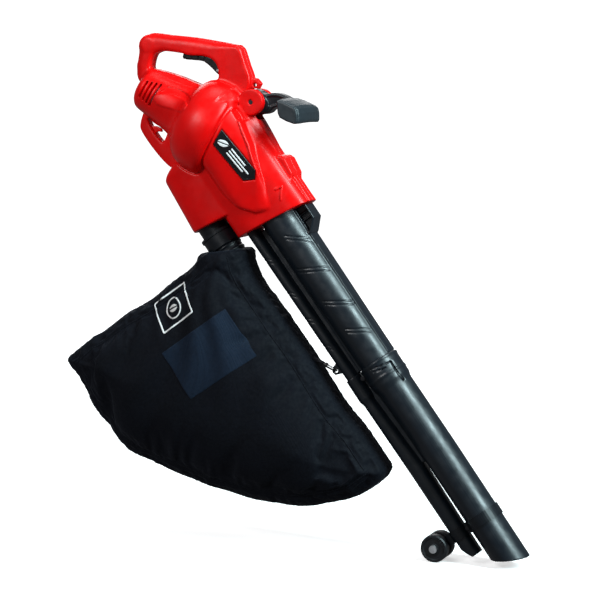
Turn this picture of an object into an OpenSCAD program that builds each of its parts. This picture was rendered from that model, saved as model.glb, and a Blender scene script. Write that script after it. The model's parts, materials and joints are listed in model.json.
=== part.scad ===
// Corded leaf blower and vacuum with a collecting bag, held at its working slope.
// Shapes are drawn in the device frame: X runs along the tubes towards the nozzle,
// Y points to the far side, and Z is square to the tubes, on the handle's side.
// place() turns that frame to the working slope and puts the origin in the main grip.

/* [Stance] */
// Slope of the tubes below level, in degrees
tube_slope = 54; // [45:1:60]

/* [Housing] */
// Wall of the two housing halves
wall = 2.6; // [2.2:0.1:3]
// Thickness of the main handle across the hand
handle_t = 34; // [32:1:36]
// Tilt of the motor axis above the tubes, in degrees
motor_tilt = 25; // [24:0.5:26]
// Radius of the motor barrel at its rear end
barrel_rear_r = 43; // [42:0.5:45]
// Radius of the motor barrel where it meets the fan case
barrel_front_r = 57; // [56:0.5:58]
// Largest radius of the fan case
fan_case_r = 96; // [94:1:98]
// Half width of the intake body ahead of the fan case
intake_half_w = 57; // [55:1:59]
// Half width of the discharge duct under the intake body
duct_half_w = 45; // [43:1:47]

/* [Motor and fan] */
// Outer radius of the stator
stator_r = 40; // [38:0.5:41]
// Radius of the armature
armature_r = 22; // [20:0.5:24]
// Radius of the impeller
impeller_r = 80; // [74:1:82]
// Number of impeller blades
impeller_blades = 9; // [6:1:12]
// Radius of the motor shaft
shaft_r = 5; // [4:0.5:6]

/* [Tubes] */
// Wall of the tubes
tube_wall = 2.4; // [2:0.1:2.8]
// Half width of the suction tube at the collar
suction_half_w = 42; // [40:1:44]
// Half height of the suction tube at the collar
suction_half_h = 38; // [36:1:39]
// Half width of the suction nozzle at its mouth
nozzle_half_w = 36; // [34:1:38]
// Half height of the suction nozzle at its mouth
nozzle_half_h = 31; // [30:0.5:32]
// Station of the nozzle's lower lip along the tubes
nozzle_x = 605; // [590:5:615]

/* [Wheels] */
// Radius of each wheel
wheel_r = 26; // [22:1:28]
// Width of each wheel
wheel_w = 20; // [16:1:22]
// Half of the gap between the wheels
wheel_gap = 7.3; // [7:0.1:9]
// Radius of the axle
axle_r = 4; // [3:0.5:5]

/* [Front handle] */
// Length of the front grip across the machine
front_grip_l = 112; // [100:2:124]
// Section of the front grip, along the tubes
front_grip_d = 35; // [32:1:38]
// Radius of the pivot hub
hub_r = 24; // [22:1:25]

/* [Bag] */
// Half thickness of the filled bag at its fullest
bag_half_t = 84; // [70:2:90]
// Radius of the port that the bag clips on
port_r = 29.5; // [28:0.5:30]

/* [Hidden] */
$fn = 64;

// Middle of the main grip, which is the origin of the part
grip_x = -510;
grip_z = 112;
// Middle of the fan case's front face, on the motor axis
fan_x = -338;
fan_z = 57;
// Pivot of the front handle
pivot_x = -355;
pivot_z = 148;
// Pivot of the trigger
trigger_x = -446;
trigger_z = 123;
// Pivot of the diverter flap
flap_x = -236;
flap_z = -27;
// Centre of the speed dial
dial_x = -575;
dial_z = 31;
dial_r = 17.5;
dial_w = 10;
// Axis of the bag port
port_z = -66.5;
// Centre of the axle
axle_x = 530;
axle_z = -40;
// Stations of the sleeve where the lower tube fits over the upper tube
sleeve_x = 180;
sleeve_end_x = 222;
// Place of the screws that lock the sleeve
screw_x = 193;
screw_z = 29;
// Stations of the bracket band round the nozzle
band_x0 = 521;
band_x1 = 543;
// Slope of the nozzle's mouth, as X per Z
mouth_lean = 0.52;
// Gap between pieces that move past each other, and the play of a running fit
clear = 0.35;
play = 0.05;

// Half length of the pins that the trigger and the speed dial turn on
pin_half = handle_t / 2 - 1.5;

plastic_red = "#c8140f";
plastic_black = "#1d2126";
steel = "#9aa0a6";

// Fan case and motor barrel, as stations on the motor axis: [distance, radius]
drum_profile = [
    [-197, barrel_rear_r - 12], [-190, barrel_rear_r - 1], [-182, barrel_rear_r + 1],
    [-98, barrel_front_r], [-85, 62], [-79, 74], [-70, 83], [-58, fan_case_r - 6],
    [-44, fan_case_r - 1.5], [-30, fan_case_r], [-12, fan_case_r - 2.5], [0, fan_case_r - 8]
];

// Intake body from the fan case to the collar: [x, half width, low z, high z, squareness]
intake_stations = [
    [-352, intake_half_w + 21, -24, 136, 2.2], [-300, intake_half_w + 14, -25, 134, 2.4],
    [-246, intake_half_w + 7, -24, 126, 2.8], [-149, intake_half_w - 4, -20, 125, 3]
];
// How much its rings lean: along the fan case at the rear, along the rim at the front
intake_leans = [-tan(motor_tilt), -0.25, 0, 0.14];

// Discharge duct under the intake body: [x, half width, low z, high z]
duct_stations = [
    [-352, duct_half_w - 8, -78, -5], [-336, duct_half_w - 2, -86, -5],
    [-217, duct_half_w, -100, -12]
];
duct_lean = 0.16;

// Suction tube: [x, half width, half height, middle z]
suction_upper = [
    [-200, suction_half_w, suction_half_h, 61], [-150, suction_half_w, suction_half_h, 61],
    [sleeve_x, 39, 35.2, 65], [sleeve_end_x, 39, 35.2, 65]
];
suction_lower = [
    [sleeve_end_x, 39, 35.2, 65], [260, 38.6, 34.6, 66], [390, 37.4, 31.8, 70],
    [nozzle_x + 45, nozzle_half_w, nozzle_half_h, 70]
];
// Blow tube, in the same form
blow_upper = [
    [-200, 24, 13, 0.5], [-150, 24, 13, 0.5], [100, 22.5, 13, 5], [sleeve_x, 22, 13, 7],
    [sleeve_end_x, 22, 13, 7]
];
blow_lower = [
    [sleeve_end_x, 22, 13, 7], [390, 21, 14.5, 11], [560, 20, 15.3, 13], [583, 19.6, 15, 13.5]
];

// Bag: [x, half thickness as a share of the fullest, low z, high z]
bag_stations = [
    [-182, 0.07, -455, -345], [-175, 0.22, -474, -140], [-166, 0.4, -477, -106],
    [-150, 0.62, -479, -42], [-120, 0.78, -480, -38], [-60, 0.93, -481, -45],
    [0, 1, -476, -45], [80, 1, -449, -42], [160, 0.93, -387, -42], [240, 0.79, -320, -40],
    [300, 0.62, -257, -37], [340, 0.45, -196, -37], [362, 0.26, -142, -43], [371, 0.1, -108, -60]
];

// Outline of the main handle, with the roots that run into the drum
handle_outline = [
    [-572, 9], [-586, 13], [-590, 28], [-586, 50], [-560, 81], [-520, 126], [-488, 157],
    [-461, 184], [-451, 186], [-420, 176], [-394, 168], [-378, 150], [-352, 90], [-425, -5],
    [-520, -28], [-552, -17], [-564, -5]
];
// Fin behind the front handle's pivot, which holds the strap eyelet
eyelet_fin = [[-400, 150], [-396, 170], [-388, 177], [-374, 178], [-366, 150]];
eyelet = [-381, 166];
// Opening for the hand, with the trigger's own recess along its upper side
hand_opening = [
    [-549, 38], [-543, 52], [-520, 78], [-486, 116], [-466, 131], [-446, 128], [-433, 114],
    [-440, 100], [-442, 79], [-454, 71], [-482, 52], [-506, 33], [-518, 20], [-530, 11],
    [-542, 20]
];
// Side view of the trigger paddle
trigger_outline = [
    [-517, 80], [-508, 73], [-492, 92], [-481, 106], [-471, 117], [-458, 121], [-448, 116],
    [-441, 120], [-441, 127], [-449, 130], [-466, 130.5], [-478, 122.5], [-487, 114.5],
    [-512, 86.5]
];
// Screws that join the housing halves: [x, z, half width of the housing there]
housing_joints = [
    [-540, -3, handle_t / 2], [-456, 166, handle_t / 2], [-405, 152, handle_t / 2],
    [-335, -62, duct_half_w - 4], [-235, -80, duct_half_w - 6], [-178, 112, 42]
];

// A closed ring of n points in a plane across X, shaped between an ellipse (k = 2) and a box
function ring(x, a, b, c, lean = 0, k = 2, n = 48) = [
    for (i = [0 : n - 1])
        let (
            u = cos(360 * i / n),
            v = sin(360 * i / n),
            z = b * sign(v) * pow(abs(v), 2 / k)
        )
        [x + lean * z, a * sign(u) * pow(abs(u), 2 / k), c + z]
];
// The same ring between a low and a high z
function box_ring(s, g, lean, k) =
    ring(s[0], s[1] - g, (s[3] - s[2]) / 2 - g, (s[2] + s[3]) / 2, lean, k);

// The skin through a list of rings, closed at both ends
module loft(rings) {
    n = len(rings[0]);
    m = len(rings);
    sides = [
        for (j = [0 : m - 2], i = [0 : n - 1])
            [j * n + i, (j + 1) * n + i, (j + 1) * n + (i + 1) % n, j * n + (i + 1) % n]
    ];
    first = [for (i = [0 : n - 1]) i];
    last = [for (i = [n - 1 : -1 : 0]) (m - 1) * n + i];
    polyhedron([for (r = rings) each r], concat([first], sides, [last]), convexity = 6);
}

module place() {
    rotate([0, tube_slope, 0]) translate([-grip_x, 0, -grip_z]) children();
}

// Children stand on the motor axis, their Z along it, at a distance from the fan's front face
module on_motor_axis(distance) {
    translate([fan_x, 0, fan_z]) rotate([0, -motor_tilt, 0]) translate([distance, 0, 0])
        rotate([0, 90, 0]) children();
}

// A 2D side view made into a plate between two Y planes
module slab(y0, y1) {
    translate([0, y1, 0]) rotate([90, 0, 0]) linear_extrude(y1 - y0) children();
}

// A round bar across the machine
module bar_y(x, z, r, y0, y1) {
    translate([x, y1, z]) rotate([90, 0, 0]) cylinder(r = r, h = y1 - y0);
}

module tube_skin(stations, g) {
    loft([for (s = stations) ring(s[0], s[1] - g, s[2] - g, s[3])]);
}

module drum_form(g) {
    first_t = drum_profile[0][0] + g;
    last_t = drum_profile[len(drum_profile) - 1][0] - g;
    on_motor_axis(0) rotate_extrude()
        polygon(concat(
            [[0, first_t]],
            [for (p = drum_profile) [p[1] - g, min(max(p[0], first_t), last_t)]],
            [[0, last_t]]
        ));
}

module intake_form(g) {
    s = intake_stations;
    n = len(s) - 1;
    loft([
        for (i = [0 : n])
            let (x = s[i][0] + (i == 0 ? g : i == n ? -g : 0))
            box_ring([x, s[i][1], s[i][2], s[i][3]], g, intake_leans[i], s[i][4])
    ]);
}

module duct_form(g) {
    s = duct_stations;
    loft([
        for (i = [0 : 2])
            let (x = s[i][0] + (i == 0 ? g : i == 2 ? -g : 0))
            box_ring([x, s[i][1], s[i][2], s[i][3]], g, i == 2 ? duct_lean : 0, 4)
    ]);
}

module handle_side() {
    difference() {
        offset(r = 5) offset(delta = -5) polygon(handle_outline);
        offset(r = -4) offset(delta = 4) polygon(hand_opening);
    }
}

module handle_form(g) {
    half = handle_t / 2 - g;
    slab(-half, half) offset(delta = -g) handle_side();
}

// Raised pad on top of the collar
module collar_pad(g) {
    slab(-28 + g, 28 - g) offset(delta = -g)
        polygon([[-246, 100], [-240, 129], [-231, 132], [-200, 130], [-190, 122], [-186, 100]]);
}

module housing_form(g) {
    drum_form(g);
    intake_form(g);
    duct_form(g);
    handle_form(g);
    collar_pad(g);
}

// Curved cooling slots round both sides of the motor barrel's rear end
module vents() {
    for (i = [0 : 3], side = [0, 180])
        on_motor_axis(-180 + 9 * i) rotate([0, 0, 90 + side - 48]) rotate_extrude(angle = 96)
            translate([barrel_rear_r - 9, -1.7]) square([16, 3.4]);
}

// Ears on each side of the front handle's hub, and the block that its pocket is cut in
module pivot_block() {
    difference() {
        intersection() {
            bar_y(pivot_x, pivot_z, 37, -24, 24);
            union() {
                intake_form(0.1);
                drum_form(0.1);
            }
        }
        on_motor_axis(-14.3) cylinder(r = fan_case_r - 6.7, h = 3.6);
    }
    for (y = [-30, 16]) bar_y(pivot_x, pivot_z, 25, y, y + 14);
}
module pivot_pocket() {
    half = 16 - clear / 2;
    bar_y(pivot_x, pivot_z, hub_r + 1, -half, half);
    intersection() {
        bar_y(pivot_x, pivot_z, 34, -half, half);
        translate([pivot_x, -half, pivot_z - 40]) cube([60, 2 * half, 90]);
    }
}

// Bosses across the housing for the screws, and the holes in them
module screw_bosses() {
    for (j = housing_joints) intersection() {
        bar_y(j[0], j[1], 5.5, -j[2], j[2]);
        housing_form(0.1);
    }
}
module screw_holes() {
    for (j = housing_joints) {
        bar_y(j[0], j[1], 2.05, -j[2] + 6, j[2] + 12);
        bar_y(j[0], j[1], 4.3, j[2] - 6, j[2] + 14);
    }
}

// Ring inside the rear of the housing that holds the rear bearing
module bearing_seat() {
    on_motor_axis(-195.5) difference() {
        cylinder(r = 15, h = 9);
        translate([0, 0, 2]) cylinder(r = 11, h = 10);
    }
}

module housing_shell() {
    difference() {
        union() {
            difference() {
                housing_form(0);
                housing_form(wall);
            }
            pivot_block();
            screw_bosses();
            slab(-7, 7) polygon(eyelet_fin);
            bearing_seat();
        }
        pivot_pocket();
        screw_holes();
        vents();
        bar_y(pivot_x, pivot_z, 4 + play, -40, 40);
        bar_y(pivot_x, pivot_z, 7, -40, -25);
        bar_y(pivot_x, pivot_z, 21, 30.05, 60);
        bar_y(eyelet[0], eyelet[1], 3.5, -20, 20);
        tube_skin(suction_upper, -clear);
        tube_skin(blow_upper, -clear);
        translate([-260, 0, port_z]) rotate([0, 90, 0]) cylinder(r = port_r + clear, h = 60);
        slab(-9.9, 9.9) for (pull = [0, 3, 6.5]) offset(delta = 0.6) trigger_side(pull);
        bar_y(dial_x, dial_z, dial_r + 1, -dial_w / 2 - 0.6, dial_w / 2 + 0.6);
        bar_y(trigger_x, trigger_z, 2.5, -pin_half, pin_half);
        bar_y(dial_x, dial_z, 2.5, -pin_half, pin_half);
        bar_y(flap_x, flap_z, 6 + clear, 20, 80);
    }
}

module housing_right() {
    color(plastic_red) place() intersection() {
        housing_shell();
        translate([-700, -150, -200]) cube([700, 150, 500]);
    }
}

module housing_left() {
    color(plastic_red) place() intersection() {
        housing_shell();
        translate([-700, 0, -200]) cube([700, 150, 500]);
    }
}

module housing_screws() {
    color(steel) place() for (j = housing_joints) {
        bar_y(j[0], j[1], 2, -j[2] + 7, j[2] - 6);
        bar_y(j[0], j[1], 4, j[2] - 6, j[2] - 3);
    }
}

module name_plate() {
    color("black") place() difference() {
        intersection() {
            slab(-90, -40) offset(r = 3) offset(delta = -3)
                polygon([[-339, 87], [-324, 54], [-236, 61.5], [-226, 82], [-239, 94]]);
            intake_form(-2.8);
        }
        intake_form(-0.1);
        drum_form(-0.1);
    }
}

// Loop under the motor that holds the extension lead, with its inner hook
module cable_hook() {
    color(plastic_red) place() difference() {
        slab(-11, 11) difference() {
            offset(r = 3) offset(delta = -3)
                polygon([[-478, -46], [-468, -64], [-452, -79], [-360, -70], [-346, -40], [-400, -20]]);
            offset(r = 2) offset(delta = -2)
                polygon([[-456, -54], [-460, -30], [-412, -30], [-405, -54]]);
        }
        drum_form(-0.1);
        duct_form(-0.1);
        handle_form(-0.1);
    }
    color(plastic_red) place() slab(-4, 4)
        polygon([[-440, -54.5], [-436, -49], [-427, -46], [-424, -48], [-430, -54.5]]);
}

// Side view of the trigger, pulled by an angle about its pin
module trigger_side(pull) {
    translate([trigger_x, trigger_z]) rotate(-pull) translate([-trigger_x, -trigger_z])
        polygon(trigger_outline);
}

module trigger() {
    color(plastic_black) place() difference() {
        slab(-9.5, 9.5) offset(r = 1.5) offset(delta = -1.5) trigger_side(0);
        bar_y(trigger_x, trigger_z, 2.5 + play, -20, 20);
    }
}

module trigger_pin() {
    color(steel) place() bar_y(trigger_x, trigger_z, 2.5, -pin_half, pin_half);
}

// A round wire wound into an open coil that stands on Z
module coil_spring(r, wire_r, h, turns) {
    steps = 8;
    sides = 6;
    count = turns * steps;
    loft([
        for (i = [0 : count])
            let (t = 360 * i / steps, z = wire_r + (h - 2 * wire_r) * i / count)
            [
                for (j = [0 : sides - 1])
                    let (q = -360 * j / sides, s = r + wire_r * cos(q))
                    [s * cos(t), s * sin(t), z + wire_r * sin(q)]
            ]
    ]);
}

module trigger_spring() {
    color(steel) place() translate([-500.4, 0, 100]) rotate([0, -48, 0]) coil_spring(4, 0.6, 28, 8);
}

module trigger_switch() {
    color("dimgray") place() translate([-478, -8, 136]) {
        cube([26, 16, 13]);
        translate([11, 5, -1.8]) cube([4, 6, 1.8]);
        for (x = [5, 12, 19]) translate([x, 7, 13]) cube([2, 2, 5]);
    }
}

module speed_dial() {
    color(plastic_red) place() difference() {
        union() {
            bar_y(dial_x, dial_z, dial_r - 1, -dial_w / 2, dial_w / 2);
            for (i = [0 : 23]) translate([dial_x, -dial_w / 2, dial_z]) rotate([0, 15 * i, 0])
                translate([dial_r - 2, 0, -1]) cube([2, dial_w, 2]);
        }
        bar_y(dial_x, dial_z, 2.5 + play, -20, 20);
    }
}

module speed_dial_pin() {
    color(steel) place() bar_y(dial_x, dial_z, 2.5, -pin_half, pin_half);
}

module speed_board() {
    color("darkgreen") place() translate([-556, -12, 22]) rotate([0, 44, 0]) {
        cube([26, 24, 1.6]);
        translate([3, 3, -7]) cube([9, 7, 7]);
        translate([15, 12, -10]) cube([8, 8, 10]);
        translate([4, 16, -5]) cylinder(r = 3, h = 5);
    }
}

module motor_stator() {
    color("slategray") place() on_motor_axis(-160) difference() {
        union() {
            cylinder(r = stator_r, h = 48);
            for (side = [-1, 1]) translate([side * 24, 0, -5]) difference() {
                translate([-9, -16, 0]) cube([18, 32, 58]);
                translate([-side * 24, 0, -1]) cylinder(r = armature_r + 2.5, h = 62);
            }
        }
        translate([0, 0, -1]) cylinder(r = armature_r + 1, h = 50);
        for (side = [-1, 1]) translate([-11, side * 33 - 5, -1]) cube([22, 10, 50]);
    }
}

module motor_armature() {
    color("peru") place() on_motor_axis(-160) difference() {
        union() {
            cylinder(r = armature_r, h = 48);
            translate([0, 0, -5]) cylinder(r = armature_r - 4, h = 5);
            translate([0, 0, 48]) cylinder(r = armature_r - 4, h = 5);
        }
        for (i = [0 : 11]) rotate([0, 0, 30 * i]) translate([armature_r - 6, -0.8, -1]) cube([8, 1.6, 50]);
        translate([0, 0, -10]) cylinder(r = shaft_r, h = 80);
    }
}

module commutator() {
    color("orange") place() on_motor_axis(-181) difference() {
        cylinder(r = 12, h = 14);
        for (i = [0 : 23]) rotate([0, 0, 15 * i]) translate([10.5, -0.3, -1]) cube([3, 0.6, 16]);
        translate([0, 0, -1]) cylinder(r = shaft_r, h = 20);
    }
}

module brush_holders() {
    color("goldenrod") place() on_motor_axis(-179) for (side = [-1, 1])
        translate([-4.5, side * 21 - 8.5, 0]) cube([9, 17, 9]);
}

module motor_shaft() {
    color(steel) place() on_motor_axis(-193) union() {
        cylinder(r = shaft_r - 1, h = 8);
        translate([0, 0, 8]) cylinder(r = shaft_r, h = 162);
    }
}

module cooling_fan() {
    color("dimgray") place() on_motor_axis(-106) difference() {
        union() {
            cylinder(r = 10, h = 7);
            cylinder(r = 36, h = 1.5);
            for (i = [0 : 10]) rotate([0, 0, 360 * i / 11]) translate([9, -0.8, 0]) cube([26, 1.6, 7]);
        }
        translate([0, 0, -1]) cylinder(r = shaft_r, h = 10);
    }
}

module bearing(bore_r, outer_r, w) {
    difference() {
        cylinder(r = outer_r, h = w);
        translate([0, 0, -1]) cylinder(r = bore_r, h = w + 2);
        for (z = [-1, w - 0.6]) translate([0, 0, z]) difference() {
            cylinder(r = outer_r - 2, h = 1.6);
            cylinder(r = bore_r + 1.6, h = 1.6);
        }
    }
}

module rear_bearing() {
    color(steel) place() on_motor_axis(-193.5) bearing(shaft_r - 1 + play, 11, 8);
}

module front_bearing() {
    color(steel) place() on_motor_axis(-96) bearing(shaft_r + play, 15, 9);
}

module motor_bulkhead() {
    color("gray") place() on_motor_axis(-97) difference() {
        union() {
            cylinder(r = 53.5, h = 4);
            cylinder(r = 20, h = 12);
        }
        translate([0, 0, 1]) cylinder(r = 15, h = 12);
        translate([0, 0, -1]) cylinder(r = 8, h = 8);
        for (i = [0 : 5]) rotate([0, 0, 60 * i + 30]) translate([38, 0, -1]) cylinder(r = 6, h = 6);
    }
}

module impeller() {
    color("silver") place() on_motor_axis(-66) difference() {
        union() {
            cylinder(r = 17, h = 34);
            cylinder(r = impeller_r, h = 3);
            for (i = [0 : impeller_blades - 1]) rotate([0, 0, 360 * i / impeller_blades])
                translate([14, 0, 2]) rotate([0, 0, 18]) cube([impeller_r - 17, 3, 34]);
        }
        translate([0, 0, -1]) cylinder(r = shaft_r, h = 40);
    }
}

module impeller_nut() {
    color(steel) place() on_motor_axis(-31.8) difference() {
        cylinder(r = 9, h = 7, $fn = 6);
        translate([0, 0, -1]) cylinder(r = shaft_r, h = 10);
    }
}

// Plate between the intake chamber and the fan, with the fan's eye
module inlet_ring() {
    color(plastic_black) place() on_motor_axis(-14) difference() {
        union() {
            cylinder(r = fan_case_r - 7, h = 3);
            translate([0, 0, -10]) cylinder(r = 52, h = 12);
        }
        translate([0, 0, -11]) cylinder(r = 48, h = 20);
        translate([56, -32, -2]) cube([40, 64, 6]);
    }
}

// Shelf between the suction path above and the discharge path below
module plenum_divider() {
    color(plastic_black) place() slab(-50, 50)
        polygon([[-304, 19], [-205, 17.5], [-205, 20], [-304, 21.5]]);
}

module diverter_flap() {
    color("gray") place() translate([flap_x, 0, flap_z]) {
        rotate([90, 0, 0]) translate([0, 0, -40]) cylinder(r = 4, h = 76);
        rotate([0, -132, 0]) translate([3, -27, -1.5]) cube([51, 54, 3]);
    }
}

// Selector for blowing or suction, on the far side
module diverter_lever() {
    y = intake_half_w + 1;
    color(plastic_black) place() union() {
        bar_y(flap_x, flap_z, 6, 40.2, y + 2);
        bar_y(flap_x, flap_z, 17, y, y + 5);
        translate([flap_x, y + 4, flap_z]) rotate([0, -132, 0]) translate([-14, 0, -4]) cube([34, 10, 8]);
    }
}

module bag_port() {
    color(plastic_black) place() translate([-232, 0, port_z]) rotate([0, 90, 0]) difference() {
        union() {
            cylinder(r = port_r, h = 47);
            translate([0, 0, 38]) cylinder(r = port_r + 0.8, h = 3);
        }
        translate([0, 0, -1]) cylinder(r = port_r - 2.5, h = 50);
    }
}

// Arm of the front handle, from its pivot hub to the middle of the grip
module front_handle_arm() {
    half = 16 - clear - clear / 2;
    color(plastic_black) place() difference() {
        union() {
            bar_y(pivot_x, pivot_z, hub_r, -half, half);
            slab(-half, half) translate([pivot_x + 15, pivot_z + 10]) circle(14);
            slab(-12, 12) offset(r = 5) offset(delta = -5) polygon([
                [-350, 160], [-350, 182], [-343, 196], [-326, 203], [-300, 214], [-290, 206],
                [-300, 194], [-320, 186], [-329, 178], [-332, 160]
            ]);
        }
        bar_y(pivot_x, pivot_z, 4 + play, -20, 20);
        front_grip_form(0.01);
    }
}

module front_grip_form(g) {
    half = front_grip_l / 2;
    shape = [[-half, 0.8], [-half + 5, 0.97], [-20, 1], [20, 1], [half - 5, 0.97], [half, 0.8]];
    translate([-292, 0, 208]) rotate([0, 0, 90]) loft([
        for (s = shape)
            ring(s[0], front_grip_d / 2 * s[1] + g, 16 * s[1] + g, 0, 0, 2.6, 40)
    ]);
}

module front_handle_grip() {
    color(plastic_black) place() front_grip_form(0);
}

module pivot_bolt() {
    color(steel) place() union() {
        bar_y(pivot_x, pivot_z, 4, -25, 35);
        bar_y(pivot_x, pivot_z, 6.5, -28, -25);
    }
}

module pivot_nut() {
    color(plastic_black) place() difference() {
        union() {
            bar_y(pivot_x, pivot_z, 17, 30.2, 40);
            for (i = [0 : 5]) translate([pivot_x, 30.2, pivot_z]) rotate([0, 60 * i, 0])
                translate([14, 0, -4]) cube([6, 9.8, 8]);
        }
        bar_y(pivot_x, pivot_z, 4, 20, 36);
    }
}

module interlock_switch() {
    color("dimgray") place() translate([-166, -30, 104]) {
        cube([14, 12, 9]);
        translate([14, 4, 3]) cube([3, 4, 3]);
    }
}

// Suction and blow tubes moulded together, with the web between them
module web(x0, x1, web_top = 32) {
    slab(-13, 13) polygon([[x0, 4], [x1, 8], [x1, web_top], [x0, 32]]);
}

module upper_tube() {
    color(plastic_black) place() difference() {
        union() {
            tube_skin(suction_upper, 0);
            tube_skin(blow_upper, 0);
            web(-149, sleeve_x - 2);
            slab(-18, 18) polygon([[-142, 90], [-142, 99.2], [sleeve_x - 2, 99.2], [sleeve_x - 2, 90]]);
            difference() {
                slab(-20, 20) offset(r = 4) offset(delta = -4)
                    polygon([[-144, 80], [-138, 123], [-108, 123], [-90, 104], [-90, 80]]);
                slab(-30, -14) offset(r = 3) offset(delta = -3)
                    polygon([[-136, 101], [-134, 117], [-112, 117], [-98, 101]]);
                slab(14, 30) offset(r = 3) offset(delta = -3)
                    polygon([[-136, 101], [-134, 117], [-112, 117], [-98, 101]]);
            }
        }
        extended_bore(suction_upper);
        extended_bore(blow_upper);
    }
}

// The inside of a tube, run a little past both ends
module extended_bore(stations) {
    n = len(stations) - 1;
    tube_skin(concat(
        [[stations[0][0] - 1, stations[0][1], stations[0][2], stations[0][3]]],
        stations,
        [[stations[n][0] + 1, stations[n][1], stations[n][2], stations[n][3]]]
    ), tube_wall);
}

module lower_tube() {
    grow = tube_wall + clear;
    // Steps of the sleeve's outside: [x, how much smaller]
    sleeve_steps = [
        [sleeve_x, 0.6], [sleeve_x + 3, 0], [sleeve_end_x + 3, 0], [sleeve_end_x + 14, 3]
    ];
    color(plastic_black) place() difference() {
        union() {
            tube_skin(suction_lower, 0);
            tube_skin(blow_lower, 0);
            loft([for (s = sleeve_steps) ring(s[0], 39 + grow - s[1], 35.2 + grow - s[1], 65)]);
            loft([for (s = sleeve_steps) ring(s[0], 22 + grow - s[1], 13 + grow - s[1], 7)]);
            web(sleeve_x, 386, 42);
            bar_y(screw_x, screw_z, 4.6, -24, 24);
        }
        extended_bore(suction_lower);
        extended_bore(blow_lower);
        tube_skin([[sleeve_x - 1, 39, 35.2, 65], [sleeve_end_x + 0.2, 39, 35.2, 65]], -clear);
        tube_skin([[sleeve_x - 1, 22, 13, 7], [sleeve_end_x + 0.2, 22, 13, 7]], -clear);
        nozzle_cut();
        for (y = [-26, 10]) bar_y(screw_x, screw_z, 2, y, y + 16);
    }
}

// Everything past the slanted mouth of the suction nozzle and the chamfer of the blow nozzle
module nozzle_cut() {
    translate([nozzle_x, -60, 39]) rotate([0, atan(mouth_lean), 0]) translate([0, 0, -8])
        cube([80, 120, 140]);
    translate([582, -40, 12]) rotate([0, 36, 0]) translate([0, 0, -50]) cube([60, 80, 70]);
    translate([582, -40, 12]) cube([30, 80, 22]);
}

module tube_screws() {
    color(steel) place() for (side = [-1, 1]) {
        bar_y(screw_x, screw_z, 2, side < 0 ? -24 : 11, side < 0 ? -11 : 24);
        bar_y(screw_x, screw_z, 4.2, side < 0 ? -26 : 24, side < 0 ? -24 : 26);
    }
}

// Lug under the blow tube for the bag's snap hook
module strap_lug() {
    color(plastic_black) place() difference() {
        slab(-2.5, 2.5) offset(r = 2) offset(delta = -2)
            polygon([[136, -3], [141, -17], [148, -25], [156, -23], [164, -2]]);
        bar_y(150, -17, 4.2, -10, 10);
        tube_skin(blow_upper, -0.05);
    }
}

module band(a, b, c, t) {
    difference() {
        loft([for (x = [band_x0, band_x1]) ring(x, a + clear + t, b + clear + t, c)]);
        loft([for (x = [band_x0 - 1, band_x1 + 1]) ring(x, a + clear, b + clear, c)]);
    }
}

module wheel_bracket() {
    color(plastic_black) place() difference() {
        union() {
            band(36.8, 31.4, 70, 2.4);
            band(20.4, 15.4, 12.8, 3);
            slab(-11, 11) polygon([[band_x0, 31], [band_x1, 31], [band_x1, 37], [band_x0, 37]]);
            slab(-6, 6) polygon([
                [band_x0, -5], [band_x1, -5], [band_x1 - 2, -20], [539, -40], [521, -40], [band_x0 + 2, -20]
            ]);
            bar_y(axle_x, axle_z, 10, -6.8, 6.8);
        }
        tube_skin(suction_lower, -clear);
        tube_skin(blow_lower, -clear);
        bar_y(axle_x, axle_z, axle_r, -10, 10);
        bar_y(532, 33.8, 1.6, -12, 4);
    }
}

module bracket_screw() {
    color(steel) place() union() {
        bar_y(532, 33.8, 3.4, -13.5, -11);
        bar_y(532, 33.8, 1.6, -11, 4);
    }
}

module wheel_axle() {
    color(steel) place() bar_y(axle_x, axle_z, axle_r, -29, 29);
}

module wheel(y0) {
    color(plastic_black) place() translate([axle_x, y0 + wheel_w, axle_z]) rotate([90, 0, 0])
        rotate_extrude() polygon([
            [axle_r + play, 0], [11, 0], [11, 2], [wheel_r - 7, 2], [wheel_r - 5, 0], [wheel_r - 2, 0],
            [wheel_r, 3], [wheel_r, wheel_w - 3], [wheel_r - 2, wheel_w], [wheel_r - 5, wheel_w],
            [wheel_r - 7, wheel_w - 2], [11, wheel_w - 2], [11, wheel_w], [axle_r + play, wheel_w]
        ]);
}

module wheel_right() {
    wheel(-wheel_gap - wheel_w);
}

module wheel_left() {
    wheel(wheel_gap);
}

module axle_caps() {
    outer = wheel_gap + wheel_w + clear;
    color("silver") place() for (side = [-1, 1]) difference() {
        bar_y(axle_x, axle_z, 7.5, side < 0 ? -outer - 3.5 : outer, side < 0 ? -outer : outer + 3.5);
        bar_y(axle_x, axle_z, axle_r, -29, 29);
    }
}

module bag() {
    color("#15171c") place() loft([
        for (s = bag_stations)
            ring(s[0], bag_half_t * s[1], (s[3] - s[2]) / 2, (s[2] + s[3]) / 2, 0, 2.5, 40)
    ]);
}

// Ring sewn into the bag's neck, which clips over the port
module bag_collar() {
    color(plastic_black) place() translate([-199, 0, port_z]) rotate([0, 90, 0]) difference() {
        union() {
            cylinder(r = port_r + 5, h = 30);
            cylinder(r = port_r + 7, h = 5);
        }
        translate([0, 0, -1]) cylinder(r = port_r + 1.2, h = 40);
    }
}

// Snap hook frame: X across the machine, Z from the lug towards the strap
module on_hook() {
    translate([150, 0, -17]) rotate([0, -120, 0]) rotate([0, 0, 90]) children();
}

module bag_strap() {
    color("#15171c") place() slab(-8, 8)
        polygon([[103, -41], [109, -37], [124.6, -28.7], [125.6, -31.2], [111, -39.6], [107, -41.4]]);
}

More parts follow.
